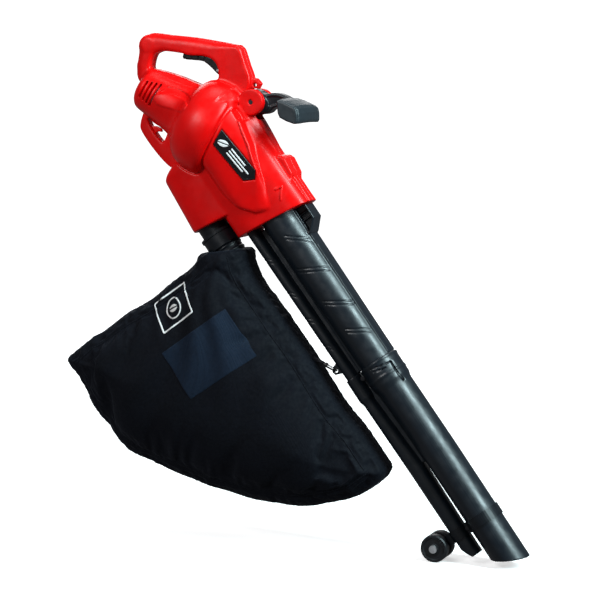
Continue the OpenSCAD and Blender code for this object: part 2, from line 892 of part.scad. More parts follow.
module snap_hook() {
    color(plastic_black) place() on_hook() {
        translate([0, 0, 7]) rotate([90, 0, 0]) rotate_extrude(angle = -180)
            translate([7, 0]) circle(1.8);
        translate([-7, 0, 7]) cylinder(r = 1.8, h = 16);
        translate([7, 0, 7]) cylinder(r = 1.8, h = 1.5);
        translate([-9, -2.5, 22]) cube([18, 5, 5]);
    }
}

module hook_gate() {
    color(steel) place() on_hook() translate([7, 0, 9]) cylinder(r = 1.5, h = 12.5);
}

housing_right();
housing_left();
housing_screws();
name_plate();
cable_hook();
trigger();
trigger_pin();
trigger_spring();
trigger_switch();
speed_dial();
speed_dial_pin();
speed_board();
motor_stator();
motor_armature();
commutator();
brush_holders();
motor_shaft();
cooling_fan();
rear_bearing();
front_bearing();
motor_bulkhead();
impeller();
impeller_nut();
inlet_ring();
plenum_divider();
diverter_flap();
diverter_lever();
bag_port();
front_handle_arm();
front_handle_grip();
pivot_bolt();
pivot_nut();
interlock_switch();
upper_tube();
lower_tube();
tube_screws();
strap_lug();
wheel_bracket();
bracket_screw();
wheel_axle();
wheel_right();
wheel_left();
axle_caps();
bag();
bag_collar();
bag_strap();
snap_hook();
hook_gate();
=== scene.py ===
"""Leaf blower and vacuum with a collecting bag: its looks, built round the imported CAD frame."""
import json
import math
import bpy
import numpy as np
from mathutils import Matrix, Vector
from mathutils.bvhtree import BVHTree


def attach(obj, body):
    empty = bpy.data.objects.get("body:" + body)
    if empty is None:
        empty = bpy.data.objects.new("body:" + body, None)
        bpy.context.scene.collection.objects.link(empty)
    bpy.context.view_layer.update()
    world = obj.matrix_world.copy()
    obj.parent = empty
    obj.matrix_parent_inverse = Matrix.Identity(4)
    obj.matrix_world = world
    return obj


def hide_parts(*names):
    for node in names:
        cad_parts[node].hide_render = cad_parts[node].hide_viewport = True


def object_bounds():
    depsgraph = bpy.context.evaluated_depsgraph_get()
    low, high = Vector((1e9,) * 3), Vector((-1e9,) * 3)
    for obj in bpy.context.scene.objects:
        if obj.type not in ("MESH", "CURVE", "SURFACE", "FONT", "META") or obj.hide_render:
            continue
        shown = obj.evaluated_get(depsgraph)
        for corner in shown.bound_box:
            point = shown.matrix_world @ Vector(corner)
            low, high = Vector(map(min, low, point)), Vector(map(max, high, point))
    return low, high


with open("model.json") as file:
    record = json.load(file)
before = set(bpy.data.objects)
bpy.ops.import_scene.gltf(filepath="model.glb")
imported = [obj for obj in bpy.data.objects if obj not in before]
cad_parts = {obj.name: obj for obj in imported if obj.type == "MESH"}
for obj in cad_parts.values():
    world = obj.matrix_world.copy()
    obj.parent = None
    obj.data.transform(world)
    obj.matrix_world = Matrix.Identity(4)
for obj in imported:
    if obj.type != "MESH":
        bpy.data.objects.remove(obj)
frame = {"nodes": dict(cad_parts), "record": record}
cad_lo, cad_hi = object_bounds()
record = frame["record"]

# ---- the device frame
# Shapes are drawn in millimetres in the device frame: x along the tubes, y to the far side,
# z square to the tubes. The record's blow mouth gives the tubes' direction.
mount = {m["name"]: m for m in record["mounts"]}
AXIS_X = np.array(mount["blow_mouth"]["axis"], float)
AXIS_Z = np.array([-AXIS_X[2], 0.0, AXIS_X[0]])
GRIP = np.array([-510.0, 0.0, 112.0])


def to_row(p):
    """Device millimetres to row metres."""
    p = np.asarray(p, float)
    d = (p - GRIP) / 1000.0
    return d[..., :1] * AXIS_X + d[..., 2:3] * AXIS_Z + d[..., 1:2] * np.array([0.0, 1.0, 0.0])


def row_dir(v):
    v = np.asarray(v, float)
    return v[..., :1] * AXIS_X + v[..., 2:3] * AXIS_Z + v[..., 1:2] * np.array([0.0, 1.0, 0.0])


# ---- signed distance tools
class Grid:
    """A block of cells in the device frame, on which distances are worked out. cell is one size or three."""

    def __init__(self, low, high, cell):
        coarser = 1.0
        cell = np.ones(3, np.float32) * np.asarray(cell, np.float32) * coarser
        self.cell = cell
        self.low = np.asarray(low, np.float32)
        n = [int(math.ceil((high[i] - low[i]) / cell[i])) + 1 for i in range(3)]
        axes = [self.low[i] + cell[i] * np.arange(n[i], dtype=np.float32) for i in range(3)]
        self.x = axes[0][:, None, None]
        self.y = axes[1][None, :, None]
        self.z = axes[2][None, None, :]
        self.ay = np.abs(self.y)
        self.axes = axes


def smin(a, b, k):
    h = np.maximum(k - np.abs(a - b), 0.0) / k
    return np.minimum(a, b) - h * h * (k * 0.25)


def smax(a, b, k):
    h = np.maximum(k - np.abs(a - b), 0.0) / k
    return np.maximum(a, b) + h * h * (k * 0.25)


def poly_distance(points, px, pz):
    """Signed distance from the points (px, pz) to a closed outline, negative inside."""
    pts = np.asarray(points, np.float32)
    shape = np.broadcast(px, pz).shape
    best = np.full(shape, 1e12, np.float32)
    inside = np.zeros(shape, bool)
    for i in range(len(pts)):
        ax, az = pts[i]
        bx, bz = pts[(i + 1) % len(pts)]
        ex, ez = bx - ax, bz - az
        wx, wz = px - ax, pz - az
        t = np.clip((wx * ex + wz * ez) / max(ex * ex + ez * ez, 1e-9), 0.0, 1.0)
        best = np.minimum(best, (wx - ex * t) ** 2 + (wz - ez * t) ** 2)
        if az != bz:
            cross = ((az > pz) != (bz > pz)) & (px < ex * (pz - az) / ez + ax)
            inside ^= cross
    return np.where(inside, -np.sqrt(best), np.sqrt(best)).astype(np.float32)


def smooth_outline(points, steps=6, closed=True):
    """A Catmull-Rom curve through the points. A point given twice stays a corner."""
    p = np.asarray(points, float)
    n = len(p)
    out = []
    for i in range(n if closed else n - 1):
        if closed:
            a, b, c, d = p[(i - 1) % n], p[i], p[(i + 1) % n], p[(i + 2) % n]
        else:
            a, b, c, d = p[max(i - 1, 0)], p[i], p[i + 1], p[min(i + 2, n - 1)]
        if np.allclose(b, c):
            continue
        if np.allclose(a, b):
            a = b - (c - b)
        if np.allclose(c, d):
            d = c + (c - b)
        for s in range(steps):
            t = s / steps
            out.append(0.5 * ((2 * b) + (c - a) * t + (2 * a - 5 * b + 4 * c - d) * t * t
                              + (3 * b - a - 3 * c + d) * t ** 3))
    if not closed:
        out.append(p[-1])
    return np.array(out)


def side_view(grid, outline, steps=0):
    """Distance in the side view to an outline of (x, z) points, rounded where steps says so."""
    return poly_distance(smooth_outline(outline, steps) if steps else outline, grid.x, grid.z)


def from_point(g, x, z):
    """Distance in the side view from one point."""
    return np.sqrt((g.x - x) ** 2 + (g.z - z) ** 2)


def from_line(g, start, end):
    """Distance in the side view from a straight line between two (x, z) points."""
    ex, ez = end[0] - start[0], end[1] - start[1]
    t = np.clip(((g.x - start[0]) * ex + (g.z - start[1]) * ez) / (ex * ex + ez * ez), 0, 1)
    return np.sqrt((g.x - start[0] - ex * t) ** 2 + (g.z - start[1] - ez * t) ** 2)


def lookup(table, fi, fj):
    """Values of a table at fractional places, blended from the four entries round each."""
    i, j = fi.astype(np.int32), fj.astype(np.int32)
    u, v = fi - i, fj - j
    return ((table[i, j] * (1 - v) + table[i, j + 1] * v) * (1 - u)
            + (table[i + 1, j] * (1 - v) + table[i + 1, j + 1] * v) * u)


def revolve(grid, profile, origin, tilt_deg):
    """Distance to a turned form: (distance, radius) points on an axis tilted up in the side view."""
    a = math.radians(tilt_deg)
    dx, dz = grid.x - origin[0], grid.z - origin[1]
    t = dx * math.cos(a) + dz * math.sin(a)
    n = -dx * math.sin(a) + dz * math.cos(a)
    r = np.sqrt(grid.y ** 2 + n ** 2)
    pts = np.asarray(profile, float)
    margin, step = 160, 0.5
    t0, t1 = pts[:, 0].min() - margin, pts[:, 0].max() + margin
    r1 = pts[:, 1].max() + margin
    ts = np.arange(t0, t1, step, dtype=np.float32)[:, None]
    rs = np.arange(0, r1, step, dtype=np.float32)[None, :]
    curve = smooth_outline(pts, 5, closed=False)
    table = poly_distance(np.concatenate([[[pts[0, 0], -50.0]], curve, [[pts[-1, 0], -50.0]]]), ts, rs)
    for axis in (0, 1):
        for _ in range(3):
            shifted = [np.roll(table, k, axis) for k in range(-4, 5)]
            table = sum(shifted) / len(shifted)
    fi = np.clip((t - t0) / step, 0, table.shape[0] - 1.001)
    fj = np.clip(r / step, 0, table.shape[1] - 1.001)
    return lookup(table, fi, fj)


def oval(y, z, a, b, k):
    """About the distance to a superellipse with half sizes a and b."""
    u = np.abs(y / a) + 1e-4
    v = np.abs(z / b) + 1e-4
    q = (u ** k + v ** k) ** (1.0 / k)
    grad = np.sqrt((u ** (k - 1) / a) ** 2 + (v ** (k - 1) / b) ** 2) * q ** (1 - k)
    return (q - 1.0) / grad


def bar(grid, x, z, r, y0, y1, k=2.0):
    """Distance to a disc or a bar across the machine, its rims rounded by k."""
    return smax(from_point(grid, x, z) - r, np.maximum(y0 - grid.y, grid.y - y1), k)


def tri(field, f):
    """Values of a field at fractional cell places f (n, 3)."""
    n = np.array(field.shape) - 1.001
    f = np.clip(f, 0, n)
    i = f.astype(np.int32)
    u = f - i
    out = 0.0
    for a in (0, 1):
        for b in (0, 1):
            for c in (0, 1):
                w = ((u[:, 0] if a else 1 - u[:, 0]) * (u[:, 1] if b else 1 - u[:, 1])
                     * (u[:, 2] if c else 1 - u[:, 2]))
                out = out + w * field[i[:, 0] + a, i[:, 1] + b, i[:, 2] + c]
    return out


CORNERS = [(a, b, c) for a in (0, 1) for b in (0, 1) for c in (0, 1)]
EDGES = [(i, j) for i in range(8) for j in range(i + 1, 8)
         if sum(abs(CORNERS[i][q] - CORNERS[j][q]) for q in range(3)) == 1]


def skin_of(grid, d):
    """Points, quads and normals of the surface where d is zero (surface nets, drawn onto it)."""
    for axis in range(3):
        for end in (0, -1):
            edge = [slice(None)] * 3
            edge[axis] = end
            d[tuple(edge)] = np.maximum(d[tuple(edge)], 0.5 * float(grid.cell[axis]))
    inside = d < 0
    count = np.zeros(tuple(n - 1 for n in d.shape), np.int8)
    for a, b, c in CORNERS:
        count += inside[a:d.shape[0] - 1 + a, b:d.shape[1] - 1 + b, c:d.shape[2] - 1 + c]
    ci, cj, ck = np.nonzero((count > 0) & (count < 8))
    index = np.full(count.shape, -1, np.int32)
    index[ci, cj, ck] = np.arange(len(ci), dtype=np.int32)
    base = np.stack([ci, cj, ck], -1).astype(np.float32)
    values = [d[ci + a, cj + b, ck + c] for a, b, c in CORNERS]
    total = np.zeros((len(ci), 3), np.float32)
    hits = np.zeros(len(ci), np.float32)
    for i, j in EDGES:
        va, vb = values[i], values[j]
        hit = (va < 0) != (vb < 0)
        t = np.where(hit, va / np.where(hit, va - vb, 1.0), 0.0)[:, None]
        a = np.array(CORNERS[i], np.float32)
        b = np.array(CORNERS[j], np.float32)
        total += np.where(hit[:, None], a + (b - a) * t, 0.0)
        hits += hit
    place = base + total / hits[:, None]
    home = place.copy()

    def gradient(f, h=0.5):
        g = []
        for q in range(3):
            s = np.zeros(3, np.float32)
            s[q] = h
            g.append((tri(d, f + s) - tri(d, f - s)) / (2 * h * grid.cell[q]))
        return np.stack(g, -1)

    for _ in range(2):
        g = gradient(place)
        v = tri(d, place)
        length = np.maximum((g ** 2).sum(-1), 0.05)
        step = -(v / length)[:, None] * g / grid.cell
        place = np.clip(place + np.clip(step, -0.5, 0.5), home - 0.7, home + 0.7)
    g = gradient(place, 0.7)
    normals = g / np.maximum(np.linalg.norm(g, axis=-1, keepdims=True), 1e-6)
    quads = []
    for axis in range(3):
        o1, o2 = [(1, 2), (2, 0), (0, 1)][axis]
        lo = [slice(None)] * 3
        hi = [slice(None)] * 3
        lo[axis], hi[axis] = slice(0, -1), slice(1, None)
        change = inside[tuple(lo)] != inside[tuple(hi)]
        core = [slice(None)] * 3
        core[o1], core[o2] = slice(1, -1), slice(1, -1)
        e = np.stack(np.nonzero(change[tuple(core)]), -1)
        e[:, o1] += 1
        e[:, o2] += 1
        out = inside[e[:, 0], e[:, 1], e[:, 2]]
        ring = []
        for s1, s2 in ((-1, -1), (0, -1), (0, 0), (-1, 0)):
            q = e.copy()
            q[:, o1] += s1
            q[:, o2] += s2
            ring.append(index[q[:, 0], q[:, 1], q[:, 2]])
        ring = np.stack(ring, -1)
        ring[~out] = ring[~out][:, ::-1]
        quads.append(ring)
    quads = np.concatenate(quads)
    quads = quads[(quads >= 0).all(-1)]
    return grid.low + place * grid.cell, quads, normals


def add_object(name, data):
    """A new object in the scene."""
    obj = bpy.data.objects.new(name, data)
    bpy.context.scene.collection.objects.link(obj)
    return obj


def mesh_object(name, points, faces, normals=None, smooth=True):
    """A mesh object from row-frame points. faces is an (n, 3) or (n, 4) array, or a list."""
    mesh = bpy.data.meshes.new(name)
    points = np.ascontiguousarray(points, np.float32)
    if isinstance(faces, np.ndarray):
        n, k = faces.shape
        mesh.vertices.add(len(points))
        mesh.vertices.foreach_set("co", points.ravel())
        mesh.loops.add(n * k)
        mesh.loops.foreach_set("vertex_index", np.ascontiguousarray(faces, np.int32).ravel())
        mesh.polygons.add(n)
        mesh.polygons.foreach_set("loop_start", np.arange(0, n * k, k, dtype=np.int32))
        mesh.update(calc_edges=True)
    else:
        mesh.from_pydata([tuple(p) for p in points], [], faces)
    mesh.validate()
    if smooth:
        mesh.polygons.foreach_set("use_smooth", np.ones(len(mesh.polygons), bool))
    if normals is not None:
        mesh.normals_split_custom_set_from_vertices([tuple(n) for n in normals])
    return add_object(name, mesh)


def sculpt(name, grid, d, mirrored=False):
    """The piece where the distance d is negative, or its mirror image across the middle."""
    p, quads, normals = skin_of(grid, d)
    if mirrored:
        p, normals = p * [1, -1, 1], normals * [1, -1, 1]
        quads = np.ascontiguousarray(quads[:, ::-1])
    return mesh_object(name, to_row(p), quads, row_dir(normals))


def cut(d, tool, k=1.5):
    """The solid d without the tool."""
    return smax(d, -tool, k)


def raise_panel(d, outline2d, height, k=1.5):
    """The surface stands proud by height inside an outline seen from the side."""
    return smin(d, smax(d - height, outline2d, k), k)


def sink_panel(d, outline2d, depth, k=1.2):
    """The surface is let in by depth inside an outline seen from the side."""
    return smax(d, -np.maximum(outline2d, -(d + depth)), k)


# ---- housing
FAN = (-338.0, 57.0)
TILT = 25.0
PIVOT = (-355.0, 148.0)
DRUM = [(-197, 26), (-196, 34), (-191, 40), (-184, 43.5), (-150, 47.5), (-120, 51.5), (-100, 55.5),
        (-92, 59), (-85, 65), (-79, 73.5), (-70, 83), (-58, 90), (-44, 94.3), (-30, 95.8),
        (-14, 94.5), (-6, 92.5), (-1, 89), (3, 83), (6, 70)]
CROWN = [(-400, 142), (-320, 142), (-300, 140), (-262, 134), (-236, 129), (-150, 127)]
SHOULDER = [(-400, 126, 38), (-364, 124.5, 38), (-348, 123.5, 42), (-284, 111, 58), (-222, 92, 58),
            (-190, 84, 52), (-150, 80, 46)]
BODY = [(-400, 84, 82, 57, 2.0), (-350, 80.5, 80, 57, 2.1), (-283, 71, 76, 57, 2.7),
        (-222, 62, 70, 60, 4.0), (-180, 56, 64, 62, 4.0), (-150, 51, 62, 62, 3.6)]
LIP = [(-60, -290), (-10, -258), (7, -236), (18, -203), (42, -174), (83, -155), (115, -146), (140, -139)]
HANDLE = [(-586, 13), (-592, 26), (-588, 48), (-576, 64), (-560, 81), (-540, 104), (-520, 126),
          (-490, 156), (-470, 175), (-461, 184), (-461, 184), (-451, 186), (-451, 186), (-436, 181),
          (-420, 176), (-394, 168), (-378, 150), (-352, 90), (-425, -5), (-520, -28), (-552, -17),
          (-564, -5), (-575, 6)]
HAND_HOLE = [(-549, 38), (-543, 51), (-520, 77), (-504, 92), (-486, 114), (-471, 125), (-456, 127),
             (-441, 121), (-432, 112), (-438, 100), (-441, 88), (-442, 78), (-453, 71), (-482, 52),
             (-506, 33), (-517, 21), (-524, 12), (-532, 10), (-542, 19), (-549, 30)]
EYELET = [(-402, 148), (-397, 168), (-389, 176.5), (-376, 178), (-362, 150)]
PLATE = [(-338, 87), (-324, 56), (-237, 62), (-226, 82), (-239, 94)]
HANDLE_HALF = 17.0
EAR_IN, EAR_OUT, EAR_RADIUS = 15.6, 30, 25
PORT_Z, PORT_RADIUS = -66.5, 30.4
DIAL, DIAL_SLOT_RADIUS = (-575, 31), 18.5
TRIGGER_HALF, TRIGGER_GAP = 9.4, 1.1
SUCTION_UP = [(-200, 42, 38, 61), (-150, 42, 38, 61), (180, 39, 35.2, 65), (222, 39, 35.2, 65)]
BLOW_UP = [(-200, 24, 13, 0.5), (-150, 24, 13, 0.5), (100, 22.5, 13, 5), (180, 22, 13, 7),
           (222, 22, 13, 7)]


def along(x, pairs):
    """A value that follows x from pair to pair."""
    p = np.asarray(pairs, float)
    return np.interp(x, p[:, 0], p[:, 1]).astype(np.float32)


def tube_form(g, stations, grow=0.0, k=2.0):
    """Distance to a tube given as (x, half width, half height, middle z) stations, grown by grow."""
    s = np.asarray(stations, float)
    a, b, c = (np.interp(g.x, s[:, 0], s[:, i]).astype(np.float32) for i in (1, 2, 3))
    return oval(g.y, g.z - c, a + grow, b + grow, k)


def intake_body(g, drum_t):
    """The body ahead of the fan case: a spine along the top, a flat shoulder with a crisp edge, the flank."""
    half, tall, mid, k = (along(g.x, [(r[0], r[i]) for r in BODY]) for i in (1, 2, 3, 4))
    shell = oval(g.y, g.z - mid, half, tall, k)
    crown = along(g.x, CROWN)
    level = along(g.x, [(r[0], r[1]) for r in SHOULDER])
    edge = along(g.x, [(r[0], r[2]) for r in SHOULDER])
    spine = crown - (crown - level) / (edge - 23) * np.maximum(g.ay - 13, 0)
    shelf = level - 0.1 * (g.ay - edge)
    deck = (g.z - smax(spine, shelf, 3.0)) * 0.8
    proud = along(g.x, [(-352, 0.0), (-346, 3.0), (-284, 2.6), (-235, 1.6), (-205, 0.0)])
    upper = smax(smax(shell - proud, level - 4.5 - g.z, 0.8), deck, along(g.x, [(-240, 1.6), (-205, 16.0)]))
    lower = smax(deck, shell, along(g.x, [(-240, 2.0), (-200, 20.0), (-150, 30.0)]))
    d = smin(upper, lower, 0.8)
    d = smax(d, 2.0 - g.z, 26.0)
    d = smax(d, -(drum_t + 24), 3.0)
    return smax(d, (g.x - along(g.z, LIP)) * 0.8, 10.0)


def past_rim(g, x):
    """Distance along x past the collar's slanted rim, when it stands at x."""
    return g.x - x - 0.144 * (g.z + 12)


def collar(g):
    """The narrower sleeve that the tubes plug into, with its rim cut on the slant."""
    crown = along(g.x, [(-240, 131), (-200, 131), (-139, 133)])
    half = along(g.x, [(-230, 51), (-200, 49.5), (-139, 48.5)])
    low = along(g.x, [(-240, -28), (-211, -28), (-150, -27)])
    d = oval(g.y, g.z - (crown + low) / 2, half, (crown - low) / 2, 3.4)
    d = smax(d, past_rim(g, -160) * 0.99, 1.6)
    return smax(d, -330 - g.x, 2.0)


def duct(g):
    """The box below the body, with the bag's port in its front."""
    half = along(g.x, [(-352, 40), (-336, 43), (-217, 45)])
    low = along(g.x, [(-370, -60), (-353, -84), (-344, -91), (-337, -94), (-230, -101.5), (-217, -101.5)])
    d = oval(g.y, g.z - (low + 30) / 2, half, (30 - low) / 2, 2.7)
    d = smax(d, g.z - 6, 4.0)
    d = smax(d, (g.x + 211 - 0.164 * (g.z + 31)) * 0.987, 3.0)
    return smax(d, -(g.x + 345.5) * 0.97 - (g.z + 78) * 0.24, 12.0)


def handle_loop(g):
    """The D handle with the bulge of its dial seat."""
    outer = side_view(g, HANDLE, 4)
    hole = side_view(g, HAND_HOLE, 4)
    d = smax(outer, g.ay - HANDLE_HALF, along(g.x, [(-490, 20.0), (-452, 6.0)]))
    d = smax(d, -hole, along(g.z, [(60, 9.0), (90, 5.0)]))
    # a chamfer between the bar's top and its sides
    d = smax(d, outer * 0.8 + (g.ay - HANDLE_HALF) * 0.6 + along(g.x, [(-452, 3.2), (-440, 1.0)]), 2.0)
    # the bulge of the speed dial's seat at the lower rear corner
    knob = smax(from_point(g, -573, 32) - 17.5, g.ay - HANDLE_HALF, 9.0)
    return smin(d, knob, 3.0)


def housing_field(g):
    """Distance to the housing before its cuts, with the places along and across the barrel's axis."""
    a = math.radians(TILT)
    drum_t = (g.x - FAN[0]) * math.cos(a) + (g.z - FAN[1]) * math.sin(a)
    drum_n = -(g.x - FAN[0]) * math.sin(a) + (g.z - FAN[1]) * math.cos(a)
    barrel = revolve(g, DRUM, FAN, TILT)
    # a let-in wedge along each side of the barrel, above a low rounded tongue
    wedge = side_view(g, [(-476, 8), (-477, 27), (-462, 42), (-420, 66), (-414, 58), (-432, 50),
                          (-455, 35), (-471, 17)])
    tongue = side_view(g, [(-476, -2), (-470, 17), (-454, 34), (-431, 49), (-415, 57),
                           (-412, 38), (-436, 14), (-460, -6)], 2)
    barrel = raise_panel(barrel, tongue, 1.8, 2.0)
    barrel = sink_panel(barrel, wedge, 2.2, 1.0)
    d = smin(barrel, handle_loop(g), 8.0)
    body = smin(intake_body(g, drum_t), collar(g), 2.0)
    body = smin(body, duct(g), 3.0)
    d = smin(d, body, 2.0)
    # a crease where the barrel meets the body
    crease = np.sqrt(barrel ** 2 + body ** 2) - 2.0
    d = smax(d, -smax(crease, 24 - g.ay, 4.0), 1.2)
    # raised boss over the latch, and the rail that runs from it to the rim
    boss = smax(side_view(g, [(-262, 100), (-246, 129), (-239, 138.5), (-230, 142), (-200, 138),
                              (-191, 131), (-184, 100)]), g.ay - 27, 5.0)
    d = smin(d, boss, 4.0)
    rail = smax(smax(g.ay - 15, g.z - 134.5, 3.0), -210 - g.x, 2.0)
    rail = smax(rail, past_rim(g, -160) * 0.99, 2.0)
    d = smin(d, smax(rail, 100 - g.z, 2.0), 1.5)
    # pivot ears, and the fin with the strap's eyelet
    for y0, y1 in ((-EAR_OUT, -EAR_IN), (EAR_IN, EAR_OUT)):
        d = smin(d, bar(g, *PIVOT, EAR_RADIUS, y0, y1, 3.0), 2.5)
    d = smin(d, smax(side_view(g, EYELET), g.ay - 7, 3.0), 3.0)
    return d, drum_t, drum_n


def housing_cuts(g, d, drum_t, drum_n):
    """Every slot, groove and socket that both halves have."""
    # cooling slots
    r = np.sqrt(g.y ** 2 + drum_n ** 2)
    for i in range(4):
        slot = smax(np.abs(drum_t + 179 - 9 * i) - 2.1, -(r - 36.5), 1.0)
        reach = smax(drum_n - (21 + 3.2 * i), -(14 + 1.2 * i) - drum_n, 2.0)
        d = cut(d, smax(slot, reach, 3.0), 1.0)
    # the gap between the ears, and the pocket ahead of it
    about_pivot = from_point(g, *PIVOT)
    d = cut(d, smax(about_pivot - EAR_RADIUS - 0.2, g.ay - EAR_IN - 0.2, 0.6), 0.8)
    ahead = np.maximum(np.maximum(PIVOT[0] - g.x, g.ay - EAR_IN - 0.2), about_pivot - 34)
    d = cut(d, ahead, 1.0)
    d = cut(d, bar(g, -381, 166, 3.6, -30, 30, 0.5), 1.0)
    # the deep notch between each ear's foot and the start of the shoulder's edge
    notch = side_view(g, [(-366, 131), (-360, 117), (-338, 116), (-331, 122), (-345, 127)])
    d = sink_panel(d, smax(notch, 31 - g.ay, 2.0), 5.0, 2.0)
    # the trigger's slot is the space that it sweeps, and the dial has a round slot
    swept = [side_view(g, pull(TRIGGER, degrees, TRIGGER_PIN), 3) for degrees in (0, 2, 4, 6)]
    slot = smax(np.minimum.reduce(swept) - 1.2, g.ay - TRIGGER_HALF - TRIGGER_GAP, 0.8)
    d = cut(d, slot, 1.6)
    d = cut(d, smax(from_point(g, *DIAL) - DIAL_SLOT_RADIUS, g.ay - 5.6, 0.6), 0.8)
    # the marks on the collar: a groove on each side of the rail and a bent arrow
    groove = smax(np.abs(g.ay - 18.5) - 2.2, -196 - g.x, 2.0)
    d = sink_panel(d, smax(groove, 112 - g.z, 2.0), 1.8, 1.0)
    for start, end in (((-188, 112), (-168, 97)), ((-188, 112), (-190, 100))):
        mark = smax(from_line(g, start, end) - 1.5, 20 - g.ay, 1.0)
        d = smin(d, smax(d - 1.5, mark, 1.0), 0.8)
    # sockets of the tubes and of the bag port
    for stations in (SUCTION_UP, BLOW_UP):
        d = cut(d, smax(tube_form(g, stations, 0.9), -past_rim(g, -175), 0.5), 0.8)
    port = smax(np.sqrt(g.y ** 2 + (g.z - PORT_Z) ** 2) - PORT_RADIUS, -245 - g.x, 0.5)
    return cut(d, port, 0.8)


def pull(points, degrees, pivot):
    """The outline turned about the pivot, as the trigger turns when it is pulled."""
    a = math.radians(-degrees)
    p = np.asarray(points, float) - pivot
    return np.stack([p[:, 0] * math.cos(a) - p[:, 1] * math.sin(a),
                     p[:, 0] * math.sin(a) + p[:, 1] * math.cos(a)], -1) + pivot


TRIGGER = [(-516, 83), (-508, 75), (-492, 92), (-479, 106), (-461, 112.5), (-448, 115),
           (-439.5, 118), (-439.5, 126), (-449, 130), (-466, 130.5), (-478, 122.5), (-487, 114.5),
           (-513, 87)]
TRIGGER_PIN = (-446, 123)


# ---- materials
class Finish:
    """A material built from nodes, on object coordinates in metres."""

    def __init__(self, name, roughness, metallic=0.0):
        self.material = bpy.data.materials.new(name)
        self.material.use_nodes = True
        self.tree = self.material.node_tree
        self.shader = self.tree.nodes["Principled BSDF"]
        self.fix(Roughness=roughness, Metallic=metallic)
        self.place = self.tree.nodes.new("ShaderNodeTexCoord").outputs["Object"]

    def fix(self, **values):
        """Sets inputs of the shader. Their names are given with _ for each space."""
        for key, value in values.items():
            self.shader.inputs[key.replace("_", " ")].default_value = value

    def node(self, kind, inputs=(), out=0, **settings):
        n = self.tree.nodes.new(kind)
        for key, value in settings.items():
            setattr(n, key, value)
        for key, value in inputs:
            if isinstance(value, bpy.types.NodeSocket):
                self.tree.links.new(value, n.inputs[key])
            else:
                n.inputs[key].default_value = value
        return n.outputs[out]

    def noise(self, scale, detail=3.0, rough=0.5, vector=None):
        return self.node("ShaderNodeTexNoise", (("Vector", vector or self.place), ("Scale", scale),
                                                ("Detail", detail), ("Roughness", rough)))

    def stretch(self, scale, turn=(0.0, 0.0, 0.0)):
        return self.node("ShaderNodeMapping", (("Vector", self.place), ("Scale", scale), ("Rotation", turn)))

    def spread(self, value, low, high, a=0.35, b=0.65):
        """value from a..b is taken to low..high."""
        return self.node("ShaderNodeMapRange", (("Value", value), ("From Min", a), ("From Max", b),
                                                ("To Min", low), ("To Max", high)))

    def blend(self, share, a, b):
        """A mix of two colours, given as (r, g, b) or as sockets, which are the node's inputs 6 and 7."""
        a, b = ((*c, 1.0) if isinstance(c, tuple) else c for c in (a, b))
        return self.node("ShaderNodeMix", ((0, share), (6, a), (7, b)), 2, data_type="RGBA")

    def maths(self, operation, a, b):
        return self.node("ShaderNodeMath", ((0, a), (1, b)), operation=operation)

    def bump(self, height, distance, strength=1.0, normal=None):
        inputs = [("Height", height), ("Distance", distance), ("Strength", strength)]
        if normal is not None:
            inputs.append(("Normal", normal))
        return self.node("ShaderNodeBump", inputs)

    def feed(self, name, value):
        self.tree.links.new(value, self.shader.inputs[name])


def scaled(color, f):
    """A lighter or darker colour."""
    return tuple(min(1.0, c * f) for c in color)


def moulded(name, color, roughness, grain=0.00006, scuffs=0.12, coat=0.0, specular=0.35):
    """Moulded plastic: a fine spark-eroded grain, slightly uneven gloss, and faint scuffs."""
    f = Finish(name, roughness)
    cloud = f.noise(22.0, 3.0)
    tone = f.blend(f.spread(cloud, 0.0, 1.0), scaled(color, 0.9), scaled(color, 1.07))
    scratch = f.noise(1.0, 4.0, 0.6, f.stretch((260.0, 60.0, 34.0), (0.3, 0.5, 0.2)))
    worn = f.spread(scratch, 0.0, 1.0, 0.63, 0.78)
    f.feed("Base Color", f.blend(f.maths("MULTIPLY", worn, scuffs), tone,
                                 tuple(0.8 * c + 0.03 for c in color)))
    gloss = f.spread(f.noise(60.0, 4.0), roughness - 0.05, roughness + 0.08)
    f.feed("Roughness", f.maths("ADD", gloss, f.maths("MULTIPLY", worn, scuffs)))
    f.feed("Normal", f.bump(f.noise(1500.0, 2.0), grain, 0.6))
    f.fix(Coat_Weight=coat, Specular_IOR_Level=specular, Coat_Roughness=0.25)
    return f.material


def metal(name, color, roughness, brushed=(900.0, 900.0, 60.0)):
    """Bare metal with fine lines in its surface."""
    f = Finish(name, roughness, 1.0)
    lines = f.noise(1.0, 3.0, 0.6, f.stretch(brushed))
    f.feed("Base Color", f.blend(f.spread(lines, 0.0, 1.0), scaled(color, 0.8), color))
    f.feed("Roughness", f.spread(f.noise(140.0), roughness - 0.08, roughness + 0.12))
    f.feed("Normal", f.bump(lines, 0.00004, 0.5))
    return f.material


def rubbery(name, color, roughness, pitch=900.0, depth=0.00018):
    """Soft overmould or tyre: a dense pebbled grain with dust in it."""
    f = Finish(name, roughness)
    pebbles = f.node("ShaderNodeTexVoronoi", (("Vector", f.place), ("Scale", pitch)))
    dust = f.spread(f.noise(35.0, 5.0, 0.6), 0.0, 0.5, 0.5, 0.8)
    f.feed("Base Color", f.blend(dust, color, tuple(c * 1.4 + 0.003 for c in color)))
    f.feed("Roughness", f.spread(f.noise(90.0), roughness - 0.06, roughness + 0.08))
    f.feed("Normal", f.bump(pebbles, depth, 0.5))
    return f.material


